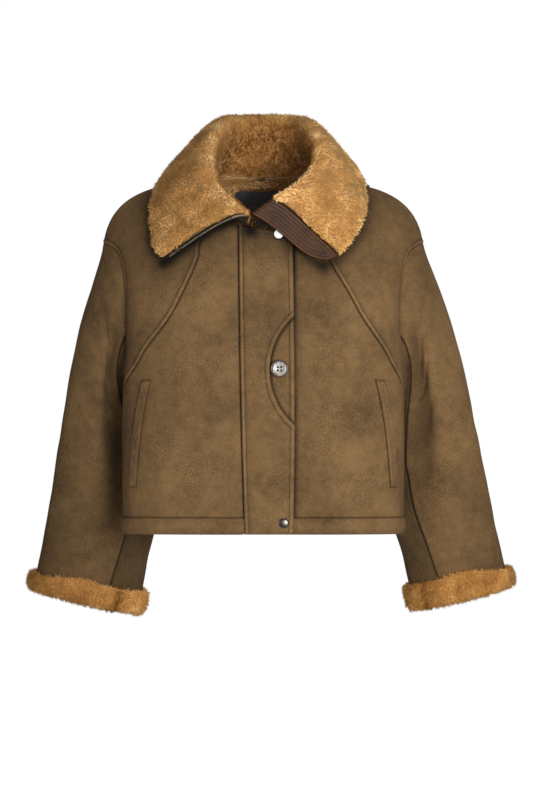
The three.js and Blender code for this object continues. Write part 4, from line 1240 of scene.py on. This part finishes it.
def sleeve(side, turn, w):
    """Sleeve on the wearer's left: turn 0 outside, 0.25 front, 0.5 inside; w from the armhole to the end."""
    turn, w = np.broadcast_arrays(np.asarray(turn, float), np.asarray(w, float))
    centre, along, outward, forward, half_width, half_depth, bow, flare = FRAMES[side]
    angle = turn * 2 * np.pi
    start = glide(ARMHOLE, turn % 1)
    fan = np.abs(np.sin(angle))
    top = smooth(0.5 + 0.5 * np.cos(angle))
    under = smooth(-np.cos(angle)) ** 2
    leave = along + np.array([1.0, 0, 0]) * (fan + bow * top)[..., None]
    leave = unit(leave + (UNDERARM_LEAVE - leave) * under[..., None])
    pull = 130 + 40 * top
    pull = pull + (95 - pull) * fan
    end = centre + outward * (np.cos(angle) * half_width)[..., None]
    end = end + forward * (np.sin(angle) * half_depth)[..., None]
    before = end + along * (-170 - 80 * under)[..., None]
    before = before + np.array([1.0, 0, 0]) * (flare * top)[..., None]
    p = bezier(start, start + leave * pull[..., None], before, end, w)
    bump_in = smooth((w - TUCK["start"]) / TUCK["ease"]) * smooth((TUCK["end"] - w) / TUCK["ease"])
    return p - np.array([1.0, 0, 0]) * (TUCK["depth"] * under * bump_in)[..., None]


def sleeve_core(side, w):
    centre, along = FRAMES[side][:2]
    return bezier(ARMHOLE_CORE, ARMHOLE_CORE + along * 150, centre - along * 170, centre, w)


def sleeve_creases(side, turn, w):
    total = np.zeros_like(turn)
    for at, down, lean, length, width, depth in SLEEVE_CREASES[side]:
        off = (turn - at + 0.5) % 1 - 0.5
        line = down + lean * off / length * 0.5 + 0.008 * np.sin(off * 40 + down * 30)
        total -= depth * np.exp(-((off / length) ** 2) - ((w - line) / width) ** 2)
    return total


def front_seam(w):
    """Turn at which the sleeve's front seam runs: it swings forward towards the cuff."""
    return 0.35 + (np.minimum(0.4, 0.534 - 0.23 * w) - 0.35) * smooth(w / 0.4)


def sleeve_panel(name, side, columns):
    """Top or under sleeve, between the front seam and the rear seam."""
    ws = -0.006 + 1.006 * fine_ends(116, 0.0035)
    a, w = np.meshgrid(fine_ends(columns, 0.01), ws)
    start, end = REAR_SEAM, front_seam(w) - SEAM_TURN
    if name == "under":
        start, end = front_seam(w) + SEAM_TURN, 1 + REAR_SEAM - SEAM_TURN
    t = start + (end - start) * a
    points = sleeve(side, t, w)
    normals = unit(np.cross(np.gradient(points, axis=1), np.gradient(points, axis=0)))
    if (normals * (points - sleeve_core(side, w))).sum() < 0:
        normals = -normals
    height = sleeve_creases(side, t, w) * smooth(w / 0.06) * smooth((1 - w) / 0.08)
    fold = bell(t - 0.335, 0.05) * smooth((w - 0.03) / 0.12) * smooth((0.8 - w) / 0.35)
    height -= 9 * fold
    points, normals = mirror(points, side), mirror(normals, side)
    left, right, low, _ = reaches(points)
    height += soft_swell(points, 45, 1.0, 20.0) * smooth(low / 20)
    seam = np.minimum(left, right)
    height = height * smooth(seam / 12) + sink(seam, 1.2, 1.6) + sink(low, 1.2, 1.6)
    height += 0.8 * smooth(low / 3) * (1 - smooth(low / 14))
    # Painted shade: in the fold beside the body, lower down the sleeve, over the right sleeve and on the
    # under sleeve.
    tone = line_tone(seam, 0.55, 1.3) * line_tone(low, 0.55, 1.7) * (1 - 0.42 * fold)
    painted_sleeve_shade = 0.16 * smooth((w - 0.55) / 0.35) + (0.16 if side == "right" else 0)
    tone = tone * (1 - painted_sleeve_shade) * (1 - 0.36 * (name == "under"))
    finish_panel(f"sleeve_{name}_{side}", points, normals, height, tone)


def sleeves(side):
    sleeve_panel("upper", side, 84)
    sleeve_panel("under", side, 40)


# ---------------------------------------------------------------- collar surface
def neck_at(x, crest_y):
    """Point of the neckline at x, in front of the shoulder or behind it."""
    in_front = crest_y < -30
    low, high = (0.0, 0.5) if in_front else (0.5, 1.0)
    for _ in range(HALVINGS):
        middle = (low + high) / 2
        short = neck_curve(middle)[..., 0] < abs(x)
        if short == in_front:
            low = middle
        else:
            high = middle
    p = neck_curve(low) + np.array([0, 0, 0.6])
    return p * np.array([-1 if x < 0 else 1, 1, 1])


def collar_table():
    table = []
    for k, (neck_x, crest_x, crest_y, crest_z, edge_x, edge_z, edge_y) in enumerate(COLLAR_ROWS):
        edge = on_front(edge_x, edge_z, 7.0) if edge_y is None else np.array([edge_x, edge_y, edge_z], float)
        table.append([k, *neck_at(neck_x, crest_y), crest_x, crest_y, crest_z, *edge])
    return np.array(table, float)


COLLAR = collar_table()


def collar_line(station, s):
    """Collar's own surface: station from its right end to its left, s from neck to edge."""
    station, s = np.broadcast_arrays(np.asarray(station, float), np.asarray(s, float))
    row = glide(COLLAR, station)
    neck, crest, edge = row[..., 0:3], row[..., 3:6], row[..., 6:9]
    out = edge - crest
    out[..., 2] = 0
    out = unit(out)
    turn = np.minimum(10, np.linalg.norm(crest - neck, axis=-1) * 0.4)[..., None]
    fall = np.linalg.norm(edge - crest, axis=-1)[..., None]
    rising = bezier(neck, neck + (crest - neck) * 0.35, crest - out * turn, crest, np.clip(s / CREST_S, 0, 1))
    middle = crest + (edge - crest) * 0.62 + np.array([0, 0, 1.0]) * fall * -0.02
    t = np.clip((s - CREST_S) / (1 - CREST_S), 0, 1)
    falling = bezier(crest, crest + out * fall * 0.12, middle, edge, t)
    falling[..., 2] += LEAF["rise"] * np.sin(np.pi * t) * (1 - smooth(station / LEAF["stations"]))
    return np.where((s < CREST_S)[..., None], rising, falling)


def collar_normal(station, s):
    """Unit normal of the collar on its pile side."""
    h = 0.01
    s = np.clip(s, 0.015, 0.985)
    station = np.clip(station, 0.02, COLLAR_SPAN - 0.02)
    along_s = collar_line(station, s + h) - collar_line(station, s - h)
    along_c = collar_line(station + h, s) - collar_line(station - h, s)
    return unit(np.cross(along_c, along_s))


def collar_point(station, s, height):
    """Point off the collar's surface by a height on its pile side."""
    station, s = np.broadcast_arrays(np.asarray(station, float), np.asarray(s, float))
    height = np.broadcast_to(np.asarray(height, float), s.shape)
    return collar_line(station, s) + collar_normal(station, s) * height[..., None]


# ---------------------------------------------------------------- pile
def lock_mesh():
    """One lock of pile: a three-sided taper, whose z runs from root (0) to tip (1)."""
    bm = bmesh.new()
    bmesh.ops.create_cone(bm, cap_ends=False, segments=3, radius1=1.0, radius2=0.0, depth=1.0)
    bmesh.ops.translate(bm, vec=(0, 0, 0.5), verts=bm.verts)
    bmesh.ops.remove_doubles(bm, verts=bm.verts, dist=1e-4)
    return as_mesh(bm, "lock")


LOCK_CO, LOCK_LOOPS, LOCK_STARTS = parts_of(lock_mesh())
CLUMP = 6


def scatter(points, normals, comb, shade, per_mm2):
    """Random roots over a grid of points, even over its area: root, normal, comb direction and shade."""
    p00, p10, p01, p11 = points[:-1, :-1], points[:-1, 1:], points[1:, :-1], points[1:, 1:]
    area = 0.5 * np.linalg.norm(np.cross(p11 - p00, p01 - p10), axis=-1)
    count = RNG.poisson(area * per_mm2)
    j, i = np.nonzero(count)
    j, i = np.repeat(j, count[j, i]), np.repeat(i, count[j, i])
    a, b = RNG.random(len(i))[:, None], RNG.random(len(i))[:, None]

    def blend(field):
        low = field[j, i] * (1 - a) + field[j, i + 1] * a
        return low * (1 - b) + (field[j + 1, i] * (1 - a) + field[j + 1, i + 1] * a) * b

    return blend(points), unit(blend(normals)), unit(blend(comb)), blend(shade[..., None])[:, 0]


def grow(name, roots, normals, comb, length, width, lean, shade, wild, clump=0.5):
    """Locks of pile from the given roots, leaning along the comb and drawn together in clumps."""
    n = len(roots)
    side = unit(np.cross(normals, comb))
    swirl = noisy(roots, 16, 5.0) * 1.6 + RNG.normal(0, wild * 0.5, n)
    c, s = np.cos(swirl)[:, None], np.sin(swirl)[:, None]
    ahead, side = comb * c + side * s, side * c - comb * s
    long = length * (0.75 + 0.5 * RNG.random(n)) * (1 + 0.2 * noisy(roots, 9, 2.0))
    tilt = np.clip(lean + RNG.normal(0, 0.18, n), 0.1, 1.35)
    tree = tree_of(roots[: max(1, n // CLUMP) * CLUMP : CLUMP])
    near = np.array([tree.find(Vector(p))[1] for p in roots]) * CLUMP
    curl = RNG.normal(0, 1, n)
    phase = RNG.random(n) * 6.28
    t = LOCK_CO[None, :, 2]
    bend = tilt[:, None] * (0.55 + 0.75 * t)
    up = long[:, None] * t * np.cos(bend)
    along = long[:, None] * t * np.sin(bend)
    sway = 0.9 * np.sin(t * 4.2 + phase[:, None]) * t + 0.5 * curl[:, None] * t**2
    spine = roots[:, None] + normals[:, None] * up[..., None] + ahead[:, None] * along[..., None]
    spine = spine + side[:, None] * sway[..., None]
    spine = spine + (spine[near] - spine) * (clump * t**1.5)[..., None]
    ring = width * (0.7 + 0.6 * RNG.random(n))[:, None] * (1 + 0.5 * t)
    corners = spine + side[:, None] * (LOCK_CO[None, :, 0] * ring)[..., None]
    corners = corners + ahead[:, None] * (LOCK_CO[None, :, 1] * ring * 0.8)[..., None]
    patch = 1 + 0.3 * noisy(roots, 26, 9.0) + 0.14 * noisy(roots, 9, 14.0) + RNG.normal(0, 0.07, n)
    shades = np.broadcast_to(np.clip(patch * shade, 0.3, 1.6)[:, None], ring.shape)
    tips = np.broadcast_to(t, ring.shape)
    return joined(name, corners, LOCK_LOOPS, LOCK_STARTS, PILE, {"tip": tips, "shade": shades})


def collar_shade(c, s):
    """Painted light and shade on the collar's pile: painted light along the fold and the left leaf, painted
    shade inside the neck.
    """
    off_middle = np.abs(c - COLLAR_SPAN / 2)
    shade = 1 + 0.09 * smooth((c - 9) / 3)
    shade = shade * (1 + 0.05 * smooth((7 - c) / 3) * (1 + smooth((s - 0.55) / 0.3)))
    # Painted highlights along the fold.
    crest = 0.1 * bell(s - 0.46, 0.07)
    front_crest_highlight = 0.42 * bell(s - 0.37, 0.03) * smooth((off_middle - 2.5) / 2)
    back_crest_highlight = 0.16 * bell(s - 0.37, 0.06) * smooth((4.5 - off_middle) / 2)
    shade = (shade + crest + front_crest_highlight + back_crest_highlight) * (1 - 0.5 * (1 - smooth((s - 0.12) / 0.32)))
    # Painted shade on the low pile at the collar's front ends.
    front_end = 1 - smooth((np.minimum(c, PILE_END - c) - 0.6) / 1.2)
    return shade * (1 - 0.6 * (1 - smooth((s - 0.3) / 0.08)) * front_end)


def collar_fur():
    """Pile side of the collar: a soft backing, with the pile in parts round the neck."""
    parts, part_columns = 4, 45
    stations = np.linspace(0, PILE_END - 0.03, parts * part_columns + 1)
    c, s = np.meshgrid(stations, np.linspace(0, 1, 61))
    inside = 1 - smooth((s - 0.28) / 0.3)
    thick = 9.8 * (1 - 0.5 * smooth((s - 0.88) / 0.12))
    thick = thick * (0.5 + 0.5 * smooth(np.minimum(c, PILE_END - c) / 0.14))
    thick = thick * (1 - 0.62 * inside * (1 - np.exp(-(((c - COLLAR_SPAN / 2) / 3.5) ** 4))))
    shade = collar_shade(c, s)
    base = collar_point(c, s, 0.9 + thick)
    normals = collar_normal(c, s)
    comb = np.gradient(base, axis=0)
    comb = unit(comb + np.array([0, 0, -0.2]) * np.linalg.norm(comb, axis=-1, keepdims=True))
    lumps = noisy(base, 7, 1.0).reshape(c.shape) * 1.2
    felt = grid_mesh("collar_fur_felt", base + normals * lumps[..., None], normals)
    piece = put("collar_fur_felt", felt, [FLEECE, FLEECE], "collar_fur")
    give_wall(piece, 5.0)
    for k in range(parts):
        cut = slice(part_columns * k, part_columns * (k + 1) + 1)
        roots, n, d, tone = scatter(base[:, cut], normals[:, cut], comb[:, cut], shade[:, cut], 0.76)
        grow(f"collar_pile_{k + 1}", roots - n * 1.5, n, d, 6.8, 0.58, 0.76, tone, wild=0.9)


def collar_shell():
    """Suede side of the collar, under the pile."""
    c, s = np.meshgrid(np.linspace(0, COLLAR_SPAN, 161), np.linspace(0, 1, 51))
    points = collar_point(c, s, 0)
    normals = -collar_normal(c, s)
    left, right, low, top = reaches(points)
    edge = np.minimum(np.minimum(left, right), top)
    height = rolled(edge, 1.2) + welt(edge, rise=0.5)
    tone = line_tone(edge - STITCH_AT, 0.4, 1.2) * line_tone(low, 0.5, 1.6)
    # Painted shade on the rising part inside the neck and where the shell runs under the tab.
    tone = tone * (0.25 + 0.75 * smooth((s - 0.3) / 0.15)) * (1 - 0.7 * smooth((c - 14.7) / 0.3))
    under = collar_point(c, s, -2.0)
    mesh = grid_mesh("collar_shell_cloth", under + normals * height[..., None], normals, tone)
    piece = put("collar_shell_cloth", mesh, [SUEDE, SUEDE], "collar_shell")
    give_wall(piece, 1.8)
    stitch("collar", *row_inside(under, normals, "top"))


def collar_tab():
    """Quilted leather tab that ends the collar at the wearer's left."""
    start_s, quilt_pitch = 0.2, 5.2
    c, s = np.meshgrid(np.linspace(PILE_END, COLLAR_SPAN, 41), np.linspace(start_s, 1, 121))
    along, across = (s - start_s) / (1 - start_s), c - COLLAR_SPAN + 1
    full = 1 + 0.22 * np.sin(np.pi * along) + 0.24 * bell(along - 0.88, 0.2)
    corner = 1 - np.sqrt(1 - np.clip((along - 0.87) / 0.13, 0, 1) ** 2)
    c = PILE_END + 0.22 * corner + across * (full - 0.5 * corner)
    base = collar_point(c, s, 4.8)
    normals = collar_normal(c, s)
    left, right, _, top = reaches(base)
    edge = np.minimum(np.minimum(left, right), top)
    quilt = 1.1 * (np.abs(np.sin(np.pi * edge / quilt_pitch)) - 0.6) * smooth(edge / 2)
    height = rolled(edge, 2.4) + quilt
    # Painted shade in the quilting's valleys, darker along the edge, and a painted highlight along the right
    # edge.
    valley = bell((edge + quilt_pitch / 2) % quilt_pitch - quilt_pitch / 2, 0.7)
    tone = 1 - 0.4 * valley * smooth((edge - 2) / 2) - 0.25 * bell(edge, 1.2)
    tone = tone + 1.1 * bell(right - 1.5, 0.8)
    mesh = grid_mesh("collar_tab_leather", base + normals * height[..., None], normals, tone)
    piece = put("collar_tab_leather", mesh, [LEATHER, LEATHER], "collar_tab")
    give_wall(piece, 3.2)


# ---------------------------------------------------------------- cuffs
CUFF = {"lip": 10.0, "up": 29.0, "inner": 12.0, "under": -5.4, "wall_turns": 120, "sleeve_length": 455}
# Where the pressed fold of each cuff lies, how deep it is, and how much higher the cuff stands in front
CUFF_FOLDS = {"right": (0.346, 0.6, 0.0), "left": (0.375, 0.3, 0.2)}


def cuff_profile():
    """Section of a turned-back cuff: distance out from the sleeve and height above its end."""
    lip, up, inner, under = CUFF["lip"], CUFF["up"], CUFF["inner"], CUFF["under"]
    shown = [[0.9, -0.3], [0.9, up - 3], [4, up - 1], [8, up - 3], [9.7, up - 12], [9.8, 8], [9.2, 0]]
    turned_in = [[6.4, -lip + 4.5], [0, -lip + 3], [under - 3.6, -lip + 4.5], [under - 6.2, 2]]
    hidden = [[under - 4.6, inner], [under - 0.2, inner], [under - 0.2, -0.3]]
    return np.array(shown + turned_in + hidden, float)


def cuff(side):
    """Turned-back cuff: a closed ring of backing, with pile on what shows of it."""
    fold_turn, fold_depth, front_more = CUFF_FOLDS[side]
    centre, along, outward, forward, half_width, half_depth = FRAMES[side][:6]
    turns = np.linspace(0, 1, CUFF["wall_turns"] + 1)[:-1]
    angle = turns * 2 * np.pi
    away = outward * (np.cos(angle) / half_width)[:, None] + forward * (np.sin(angle) / half_depth)[:, None]
    away = unit(away)
    share = 1 - 0.36 * smooth(-np.cos(angle)) - 0.42 * smooth(np.cos(angle))
    share = share + front_more * smooth(np.sin(angle))
    rows = []
    for out, up in cuff_profile():
        if up > 0:
            base = sleeve(side, turns, 1 - up / CUFF["sleeve_length"] * share)
        else:
            drop = -up * (1 - 0.35 * smooth(np.sin(angle)))
            base = sleeve(side, turns, np.ones_like(turns)) + along * drop[:, None]
        dent = 1 - fold_depth * bell(turns - fold_turn, 0.016) * (out > 2)
        rows.append(mirror(base + away * (out * dent)[:, None], side))
    points = np.array(rows)
    around = np.concatenate([points, points[:, :1]], 1)
    wrapped = np.concatenate([around[-1:], around, around[:1]], 0)
    n = unit(np.cross(np.gradient(around, axis=1), np.gradient(wrapped, axis=0)[1:-1]))
    if (n[4] * (around[4] - mirror(centre, side))).sum() < 0:
        n = -n
    felt = ring_mesh(f"cuff_{side}_felt", points, True)
    piece = put(f"cuff_{side}_felt", felt, [FLEECE], f"cuff_{side}")
    at = np.linspace(0, 10, 56)
    shown, shown_n = between_rows(around[1:12], at), unit(between_rows(n[1:12], at))
    comb = unit(unit(np.gradient(shown, axis=0)) * 0.6 + mirror(along, side)[None, None] * 0.25)
    turn, down = np.meshgrid(np.linspace(0, 1, CUFF["wall_turns"] + 1), at)
    # Painted shade in the pressed fold and where the pile tucks into it; the left cuff's pile painted a
    # little darker than the right.
    tucked = bell(turn - fold_turn + 0.03, 0.028) * smooth((down - 6.2) / 0.8)
    plain = 0.95 if side == "right" else 0.9
    shade = plain - fold_depth * (0.75 * bell(turn - fold_turn, 0.014) + 0.9 * tucked)
    roots, nn, d, tone = scatter(shown, shown_n, comb, shade, 0.8)
    pile = grow(f"cuff_{side}_pile", roots - nn * 1.5, nn, d, 7.4, 0.62, 0.56, tone, clump=0.55, wild=1.3)


def between_rows(field, at):
    """Rows of a field read off between its own."""
    low = np.clip(np.floor(at).astype(int), 0, len(field) - 2)
    t = (at - low)[:, None, None]
    return field[low] * (1 - t) + field[low + 1] * t


# ---------------------------------------------------------------- neck lining and label
def neck_lining():
    """Pile inside the neck, below the collar seam at the back, clear of the label."""
    low_v, high_v = 0.62, 0.985

    def place(a, b):
        v = low_v + (high_v - low_v) * b
        cap = np.clip((v - BACK_NECK_V) / (1 - BACK_NECK_V), 0, 1)
        u = np.maximum(0.001, 0.9 * np.abs(a) * (1 - cap * 0.2))
        p = sunk(back, u, np.minimum(v, 0.897 + 0.1 * np.abs(a)), BODY_WALL)
        p[..., 2] += 4 * smooth((b - 0.6) / 0.3)
        return to_side(p, a)

    points, normals = lay(place, np.linspace(-1, 1, 81), np.linspace(0, 1, 41), body_core)
    normals = -normals
    comb = unit(np.gradient(points, axis=0))
    # A shade of 1.8 lightens this pile: painted light deep inside the neck.
    roots, n, d, tone = scatter(points, normals, comb, np.full(points.shape[:2], 1.8), 0.75)
    off_middle, level = np.abs(roots[:, 0]), roots[:, 2]
    near = (level > -60) & (off_middle < 100)
    label = (off_middle < 33) & (level < 3) & (level > -24)
    near &= ~label & ~((off_middle < 30) & (level > 19))
    grow("neck_pile", (roots - n * 0.8)[near], n[near], d[near], 6.0, 0.68, 0.7, tone[near], wild=2.0)
    c = np.linspace(5.4, 10.6, 96)
    seam, out = collar_point(c, 0.0, 4.5), collar_normal(c, 0.0)
    for stretch in (slice(0, 46), slice(49, 96)):
        stitch("neck", seam[stretch], out[stretch])


def neck_label():
    """Bare woven label on the back of the neck."""
    width, height, low_z = 76, 32, -26

    def place(a, b):
        x = (-width / 2 + width * a) * (1 - 0.13 * np.clip((b - 0.8) / 0.2, 0, 1))
        z = low_z + height * b
        low, high = np.full_like(z, 0.6), np.full_like(z, BACK_NECK_V)
        for _ in range(HALVINGS):
            middle = (low + high) / 2
            u = np.abs(x) / (3 * glide(BACK_ROWS, middle)[..., 2])
            below = back(u, middle)[..., 2] < z
            low, high = np.where(below, middle, low), np.where(below, high, middle)
        return to_side(sunk(back, np.maximum(u, 1e-4), low, BODY_WALL + 2.6), x)

    points, normals = lay(place, np.linspace(0, 1, 31), np.linspace(0, 1, 15), body_core)
    mesh = grid_mesh("neck_label_cloth", points - normals * 0.2, -normals)
    piece = put("neck_label_cloth", mesh, [LABEL, LABEL], "neck_label")
    give_wall(piece, 0.8)


# ---------------------------------------------------------------- button, snaps and zip
# Half profiles of the turned parts: radius and height
RIM_PROFILE = [
    (10.9, 0.4), (13.0, 0), (13.5, 0.8), (13.5, 3.2), (12.9, 4.2), (12.0, 4.4), (11.2, 4.1), (10.9, 3.4),
    (10.9, 0.4),
]
DISC_PROFILE = [
    (0, 0), (10.4, 0), (10.6, 0.3), (10.6, 2.6), (10.0, 3.1), (8.6, 3.0), (7.4, 2.5), (6.4, 2.3), (0, 2.2),
]


def turned(profile):
    """A turned part: its half profile spun round its axis."""
    bm = bmesh.new()
    verts = [bm.verts.new((radius, 0, height)) for radius, height in profile]
    edges = [bm.edges.new(pair) for pair in zip(verts[:-1], verts[1:])]
    whole = {"cent": (0, 0, 0), "axis": (0, 0, 1), "angle": math.tau, "steps": 40, "use_merge": True}
    bmesh.ops.spin(bm, geom=verts + edges, **whole)
    bmesh.ops.remove_doubles(bm, verts=bm.verts, dist=1e-5)
    bmesh.ops.recalc_face_normals(bm, faces=bm.faces)
    return bm


def block(offset, segments):
    """A unit block with bevelled edges."""
    bm = bmesh.new()
    bmesh.ops.create_cube(bm, size=1.0)
    rounding = {"affect": "EDGES", "segments": segments, "profile": 0.5, "material": -1}
    bmesh.ops.bevel(bm, geom=bm.edges[:], offset=offset, **rounding)
    return bm


def seat(bm, x, z, lift):
    """Move a turned part onto the front at x and z, facing out."""
    spot = on_front(np.array(x, float), np.array(z, float), lift)
    u, v = front_place(abs(x), z)
    out = mirror(body_normal(front, u, v), "right" if x < 0 else "left")
    turn = Vector((0, 0, 1)).rotation_difference(Vector(out)).to_matrix().to_4x4()
    turn.translation = Vector(spot)
    bm.transform(turn)


def finished(bm, name, material, stands_for):
    """A part made in millimetres, brought to metres and put in its node's place."""
    for vert in bm.verts:
        vert.co *= MM
    mesh = as_mesh(bm, name)
    mesh.shade_smooth()
    put(name, mesh, [material], stands_for)


def button():
    """Coat button: horn rim, pearl disc and four holes."""
    x, z, lift = 24.0, -268.5, 1.0 - 3.4
    holes = bmesh.new()
    for across in (-2.5, 2.5):
        for up in (-2.5, 2.5):
            made = bmesh.ops.create_uvsphere(holes, u_segments=12, v_segments=6, radius=1.7)
            bmesh.ops.scale(holes, vec=(1, 1, 0.25), verts=made["verts"])
            bmesh.ops.translate(holes, vec=(across, up, 2.3), verts=made["verts"])
    for bm, name, material, stands_for, slot in (
        (turned(RIM_PROFILE), "button_rim_turned", HORN, "button_rim", "horn"),
        (turned(DISC_PROFILE), "button_disc_turned", PEARL, "button_disc", "pearl"),
        (holes, "button_holes", HOLE, None, "horn"),
    ):
        seat(bm, x, z, lift)
        finished(bm, name, material, stands_for)


def snap(name, x, z, radius, metal):
    """Domed snap cap."""
    dome = [(radius * math.cos(t), 0.5 + 1.8 * math.sin(t)) for t in np.linspace(0, 1.45, 9)]
    cap = turned([(0, 0), (radius - 0.6, 0), (radius, 0.25), *dome, (0, 2.3)])
    seat(cap, x, z, 1.3)
    finished(cap, f"{name}_cap", metal, name)


ZIP_START, ZIP_END = 0.44, 0.97


def zip_edge(distance, height, start=ZIP_START, end=ZIP_END, count=60):
    """Line beside the collar's right end, its normals, and the way away from the collar."""
    s = np.linspace(start, end, count + 1)
    away = unit(collar_line(np.zeros_like(s), s) - collar_line(np.full_like(s, 0.15), s))
    line = collar_point(np.zeros_like(s), s, height) + away * distance
    return line, collar_normal(np.zeros_like(s), s), away


def zip_parts():
    """Zip tape with its teeth and end stop, beside the collar's right end."""
    inner, n, away = zip_edge(1.3, -1.0)
    rows = np.stack([inner + away * across for across in (0, 1.2, 3, 4.2)])
    pale = 1 + 7 * (1 - smooth((np.linspace(ZIP_START, ZIP_END, len(n)) - 0.56) / 0.03))
    tone = np.broadcast_to(pale, rows.shape[:2])
    mesh = grid_mesh("zip_tape_cloth", rows, np.broadcast_to(n, rows.shape), tone)
    piece = put("zip_tape_cloth", mesh, [TAPE, TAPE], "zip_tape")
    give_wall(piece, 1.0)
    p, nn, t = along_line(*zip_edge(5.2, 0.6, 0.56)[:2], 2.6)
    axes = (unit(np.cross(nn, t)) * 2.6, t * 1.3, nn * 1.8)
    repeated("zip_teeth", as_mesh(block(0.12, 1), "tooth"), p, axes, TEETH)
    line, out, _ = zip_edge(4.2, 1.8, 0.88, 0.95, 8)
    direction = unit(line[-1] - line[0])
    axes = np.stack([direction * 13, unit(np.cross(out[4], direction)) * 4.6, out[4] * 2.2], 1)
    stop = block(0.18, 2)
    for vert in stop.verts:
        vert.co = Vector(axes @ np.array(vert.co) + line[4])
    finished(stop, "zip_stop_block", NICKEL, "zip_stop")


# ---------------------------------------------------------------- the coat
for side in ("right", "left"):
    front_panel(side)
    shoulder_panel(side)
    pocket_welt(side)
    sleeves(side)
back_panel()
placket()
placket_under()
hem_bands()
collar_shell()
collar_fur()
collar_tab()
for side in ("right", "left"):
    cuff(side)
neck_lining()
neck_label()
button()
snap("snap_top", 23, -68, 7, PAINTED_GLINT)
snap("snap_bottom", 30.5, -498, 7.5, NICKEL)
zip_parts()
sew()


# ---------------------------------------------------------------- studio
FLOOR_Z = -1.04
CAMERA = {"distance": 12.0, "view_height": 1.2, "x": 0.0048, "y": -12.02, "z": -0.315, "sensor": 36}


def studio():
    """Plain world, pale floor, four soft lamps and the camera."""
    world = bpy.data.worlds.new("Studio")
    bpy.context.scene.world = world
    world.use_nodes = True
    tree = world.node_tree
    tree.nodes.clear()
    out = tree.nodes.new("ShaderNodeOutputWorld")
    fill = node(tree, "ShaderNodeBackground", {"Color": (1, 1, 1, 1), "Strength": 0.24})
    seen = node(tree, "ShaderNodeBackground", {"Color": (1, 1, 1, 1), "Strength": 1.0})
    path = tree.nodes.new("ShaderNodeLightPath")
    mixed = tree.nodes.new("ShaderNodeMixShader")
    tree.links.new(path.outputs["Is Camera Ray"], mixed.inputs[0])
    tree.links.new(fill.outputs[0], mixed.inputs[1])
    tree.links.new(seen.outputs[0], mixed.inputs[2])
    tree.links.new(mixed.outputs[0], out.inputs[0])
    bpy.context.scene.view_settings.view_transform = "Standard"

    bm = bmesh.new()
    bmesh.ops.create_circle(bm, cap_ends=True, segments=64, radius=1.5)
    bmesh.ops.translate(bm, vec=(0, 0, FLOOR_Z), verts=bm.verts)
    floor = new_object("floor", as_mesh(bm, "floor"))
    floor.data.materials.append(principled("Pale paper", Base_Color=(0.85, 0.85, 0.84, 1), Roughness=0.9)[0])

    def lamp(name, place, target, size, power):
        light = bpy.data.lights.new(name, "AREA")
        light.shape, light.size, light.energy = "DISK", size, power
        made = new_object(name, light)
        made.location = place
        made.rotation_euler = (Vector(target) - Vector(place)).to_track_quat("-Z", "Y").to_euler()

    lamp("key", (1.0, -2.8, -0.3), (0, 0, -0.35), 1.2, 92)
    lamp("fill", (-1.8, -2.4, -0.1), (0, 0, -0.3), 1.4, 14)
    lamp("top", (0.5, -0.8, 1.9), (0, 0, -0.2), 1.0, 8)
    lamp("behind", (0.2, 2.8, 0.6), (0, 0, -0.3), 1.4, 44)

    camera = bpy.data.cameras.new("camera")
    eye = new_object("camera", camera)
    camera.sensor_width = CAMERA["sensor"]
    camera.lens = CAMERA["sensor"] * CAMERA["distance"] / CAMERA["view_height"]
    camera.clip_end = 60
    eye.location = (CAMERA["x"], CAMERA["y"], CAMERA["z"])
    eye.rotation_euler = (math.pi / 2, 0, 0)
    bpy.context.scene.camera = eye


studio()
